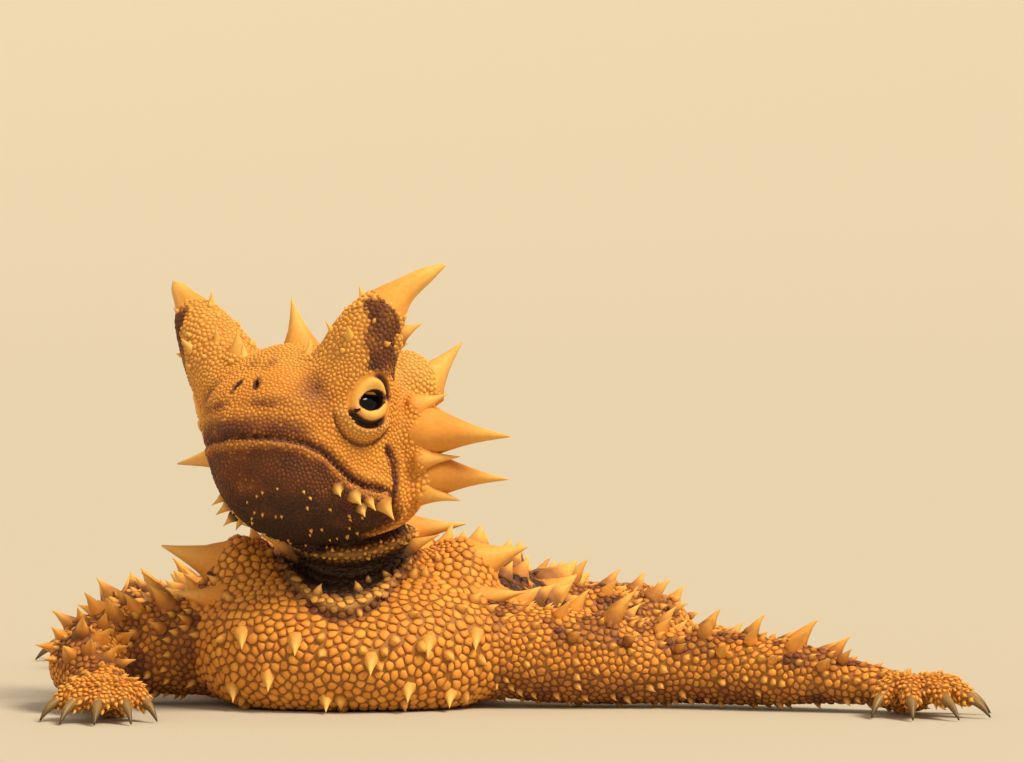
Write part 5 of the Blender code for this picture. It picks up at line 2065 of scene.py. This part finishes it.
@dataclass
class Studio:
    """Pale floor, soft lights and the camera at the photograph's angle."""

    target: Row = (0.0125, -0.020, 0.0281)
    distance: float = 0.45
    elevation: float = 1.0
    half_view: float = 0.0435
    sweep: float = 0.045
    floor_sides: int = 96

    def floor(self) -> None:
        """A round floor that is flat for 2.5 m and then sweeps up.

        Its height grows with the square of the distance past the flat part.
        """
        radius = np.array([0.3, 1.0, 2.0, 2.5, 2.8, 3.1, 3.5, 4.0, 4.6, 5.3, 6.1, 7.0, 8.0, 9.0]) / MM
        height = self.sweep * MM * np.maximum(radius - 2.5 / MM, 0.0) ** 2
        turn = turns(self.floor_sides)
        rings = np.stack([np.outer(radius, np.cos(turn)), np.outer(radius, np.sin(turn)),
                          np.repeat(height[:, None], self.floor_sides, 1)], axis=-1)
        points = np.concatenate([rings.reshape(-1, 3), np.zeros((1, 3))])
        k = np.arange(self.floor_sides)
        middle = np.stack([k, (k + 1) % self.floor_sides, np.full(self.floor_sides, len(points) - 1)], 1)
        outer = strips(len(radius), self.floor_sides)[:, ::-1]
        obj = make_object("floor", points, np.concatenate([middle, outer]))
        obj.data.materials.append(FloorFinish().build())

    def lamp(self, name: str, toward: Row, strength: float, spread: float, colour: str) -> None:
        """A soft light from one direction.

        Args:
            name: The light's name.
            toward: The direction from the animal to the light.
            strength: Its strength.
            spread: How wide it looks from the animal, in degrees.
            colour: Its tint.
        """
        data = bpy.data.lights.new(name, "SUN")
        data.energy = strength
        data.angle = math.radians(spread)
        data.color = linear(colour)[:3]
        obj = bpy.data.objects.new(name, data)
        obj.rotation_euler = (-Vector(toward)).to_track_quat("-Z", "Y").to_euler()
        bpy.context.scene.collection.objects.link(obj)

    def build(self) -> None:
        """Floor, lights, world and camera."""
        self.floor()
        self.lamp("key", (0.5, -0.36, 0.79), 3.9, 22.0, "#FFE9C4")
        self.lamp("fill", (-0.5, -0.8, 0.35), 0.45, 60.0, "#FFE0BC")
        world = bpy.data.worlds.new("studio")
        world.use_nodes = True
        back = world.node_tree.nodes["Background"]
        back.inputs["Color"].default_value = linear("#F6E4C8")
        back.inputs["Strength"].default_value = 0.6
        scene = bpy.context.scene
        scene.world = world
        scene.view_settings.view_transform = "Standard"
        data = bpy.data.cameras.new("camera")
        data.angle = 2 * math.atan(self.half_view / self.distance)
        data.clip_start = 0.01
        camera = bpy.data.objects.new("camera", data)
        tilt = math.radians(self.elevation)
        back_off = Vector((0.0, -math.cos(tilt), math.sin(tilt))) * self.distance
        camera.location = Vector(self.target) + back_off
        camera.rotation_euler = (math.pi / 2 - tilt, 0.0, 0.0)
        scene.collection.objects.link(camera)
        scene.camera = camera


@dataclass
class HornMaker:
    """A horn's bony core, whose smooth cream point stands out of the scaly skin."""

    head: Head
    side: int
    rings: int = 60
    sides: int = 40

    def build(self, name: str) -> Piece:
        """The horn's object.

        The horn's own tube, thinner by the horn sheath's step where the skin covers it and back to
        its own size at the tip, with shallow flutes on the bare point.

        Args:
            name: The piece's name.

        Returns:
            The new object.
        """
        tube = self.head.horn
        bare = self.head.bare_point
        share = np.linspace(0.0, 1.0, self.rings)
        s, angles = np.repeat(share, self.sides), np.tile(turns(self.sides), self.rings)
        outside = tube.points(s * tube.length, angles)
        centre = tube.axes(s * tube.length)[0]
        radius = lengths(outside - centre)
        inset = 0.02 + 0.6 * (1 - ease(s, bare, 0.9))
        flute = 1 + 0.08 * np.cos(7 * angles) * ease(s, bare - 0.1, bare) * (1 - s)
        factor = np.maximum(1 - inset / np.maximum(radius, inset + 0.05), 0.05)
        local = centre + (outside - centre) * (factor * flute)[:, None]
        local = np.concatenate([local, tube.line[[-1, 0]]]) * np.array([self.side, 1.0, 1.0])
        points = self.head.pose.outward(self.head.leaning(local, 1.0))
        obj = make_object(name, points, closed_rings(self.rings, self.sides))
        shares = np.concatenate([s, [1.0, 0.0]])
        pale = 0.2 + 0.75 * ease(shares, bare - 0.05, bare + 0.25)
        set_marks(obj, shares * 0, pale, 0.45 + 0.55 * shares, np.full(len(points), 0.3))
        outward_faces(obj)
        return obj


@dataclass
class EyeMaker:
    """An eyeball whose rings stand closer together at its front."""

    head: Head
    side: int
    rings: int = 40
    sides: int = 48

    def build(self, name: str) -> Piece:
        """A ball about the eye's axis, from its front pole to its back.

        Args:
            name: The piece's name.

        Returns:
            The new object.
        """
        eye = self.head.eye
        tilt = np.repeat(np.linspace(0.0, 1.0, self.rings)[1:-1] ** 1.3 * math.pi, self.sides)
        turn = np.tile(turns(self.sides), self.rings - 2)
        ring = np.stack([np.sin(tilt) * np.cos(turn), np.sin(tilt) * np.sin(turn), np.cos(tilt)], 1)
        ball = np.concatenate([ring, [[0, 0, -1.0], [0, 0, 1.0]]])
        local = ball * eye.radius @ eye.frame + np.array(eye.centre)
        local[:, 0] *= self.side
        obj = make_object(name, self.head.pose.outward(local), closed_rings(self.rings - 2, self.sides))
        outward_faces(obj)
        front = np.concatenate([np.sin(tilt) + (tilt > math.pi / 2), [2.0, 0.0]])
        set_marks(obj, front, front * 0, front * 0, front * 0)
        return obj


def head_of() -> Head:
    """The head with its skull, horn and eye."""
    pose = Pose((-4.4, -17.2, 22.85), yaw=36.0, lift=14.0, roll=4.5)
    skull = Tube(SKULL_STATIONS, roundness=2.4, caps=(4.0, 4.5))
    horn = Tube(HORN_STATIONS, up=(0, 1, 0), inset=0.3)
    return Head(pose, skull, horn, Eye(), MOUTH, width=0.6)


def grown_spikes(head: Head) -> list[Spike]:
    """Every spike of the animal, the rows first and in the order in which the solids' own are drawn.

    Args:
        head: The head that carries the horns.

    Returns:
        The spikes.
    """
    spikes = []
    draw = random.Random(SEED)
    shift = np.array([SHOULDER_SHIFT, 0.0, 0.0])
    for mirrored in (False, True):
        spikes += ThornRows(TRUNK, TRUNK_ROWS, "trunk").grow(draw, mirrored)
        spikes += ThornRows(TAIL, TAIL_ROWS, "tail").grow(draw, mirrored)
    for word in ("left", "right"):
        for part in ("arm", "leg"):
            rows = ThornRows(LIMBS[f"{part}_{word}"], LIMB_ROWS, f"{part}s")
            spikes += rows.grow(draw, word == "right")
    for side in (1, -1):
        mirror = np.array([side, 1.0, 1.0])
        shoulder = SHOULDER_THORNS[0] if side == 1 else RIGHT_SHOULDER_THORN
        for root, tip, radius in [shoulder] + SHOULDER_THORNS[1:] + KNOB_THORNS:
            spikes.append(Spike(root * mirror + shift, tip * mirror + shift, radius, "trunk"))
        first = HEAD_THORNS[0] if side == 1 else LONG_THORN
        for root, tip, radius in [first] + HEAD_THORNS[1:] + JAW_THORNS:
            ends = head.pose.outward(np.array([root, tip]) * mirror)
            spikes.append(Spike(*ends, radius * 1.15, "head", scaly=0.5 if radius > 1.6 else 0.12))
        for root, tip, radius in HORN_THORNS:
            ends = head.pose.outward(head.leaning(np.array([root, tip]) * mirror, 1.0))
            spikes.append(Spike(*ends, radius, "head", scaly=0.2))
    for x, z in CHEST_TUBERCLES:
        line = np.array([[x, y, z] for y in np.linspace(-45.0, -15.0, 301)])
        within = TRUNK.distance(line) < 0
        if within.any():
            root = line[np.argmax(within)]
            tip = root + np.array([0.0, -1.5, -1.2])
            spikes.append(Spike(root, tip, TUBERCLE_RADIUS, "chest", scaly=0.0))
    for root, tip, radius in (CROWN_THORN, RIGHT_BROW_THORN):
        spikes.append(Spike(*head.pose.outward(np.array([root, tip])), radius, "head", scaly=0.2))
    return spikes


def main() -> None:
    """Builds the classes in order and dresses each piece."""
    logging.basicConfig(level=logging.INFO, format="%(name)s %(message)s")
    head = head_of()
    folds = ThroatFolds()
    spikes = grown_spikes(head)
    humps = [Ball((SHOULDER_HUMP[0][0] * side + SHOULDER_SHIFT, *SHOULDER_HUMP[0][1:]), SHOULDER_HUMP[1],
                  width=2.5) for side in (1, -1)]
    knob = Ball(*NAPE_KNOB, width=1.6)
    paws = [form for paw in PAWS.values() for form in paw.forms()]
    stubs = [spike.stub() for spike in spikes if spike.radius > 0.55]
    forms = [TRUNK, *humps, TAIL, NECK, folds, knob, *LIMBS.values(), *paws, head, *stubs]
    digits = [(Part.DIGIT, form) for form in paws if isinstance(form, Tube)]
    anatomy = Anatomy(head, BODY_TUBES + digits, [*humps, knob])
    markings = Markings(head, folds)
    hide = HideFinish().build()
    skin, surface = Skin(Flesh(forms), head, anatomy, markings).build()
    dressed(skin, hide)
    flesh = ["head", "lower_jaw", "neck", "nape_knob", "torso", "tail_base", "tail_middle", "tail_tip"]
    for word in ("left", "right"):
        flesh += [f"{part}_{word}" for part in ("upper_arm", "forearm", "hand", "thigh", "shin", "foot")]
    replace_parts(skin, *flesh)
    for side, word in ((1, "left"), (-1, "right")):
        horn = HornMaker(head, side).build(f"horn_{word}_core")
        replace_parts(dressed(horn, hide), f"horn_{word}")
        eye = EyeMaker(head, side).build(f"eyeball_{word}")
        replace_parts(dressed(eye, EyeFinish().build()), f"eye_{word}")
    for piece in Coat(surface, spikes).build():
        dressed(piece, hide)
    maker = SpikeMaker(spikes, anatomy, markings)
    draw = np.random.default_rng(SEED + 1)
    for kind in sorted({spike.kind for spike in spikes}):
        dressed(maker.build(kind, draw), hide)
    claw = ClawFinish().build()
    for name, paw in PAWS.items():
        dressed(make_object(f"claws_{name}", *paw.claws()), claw)
    Studio().build()


if __name__ == "__main__":
    main()
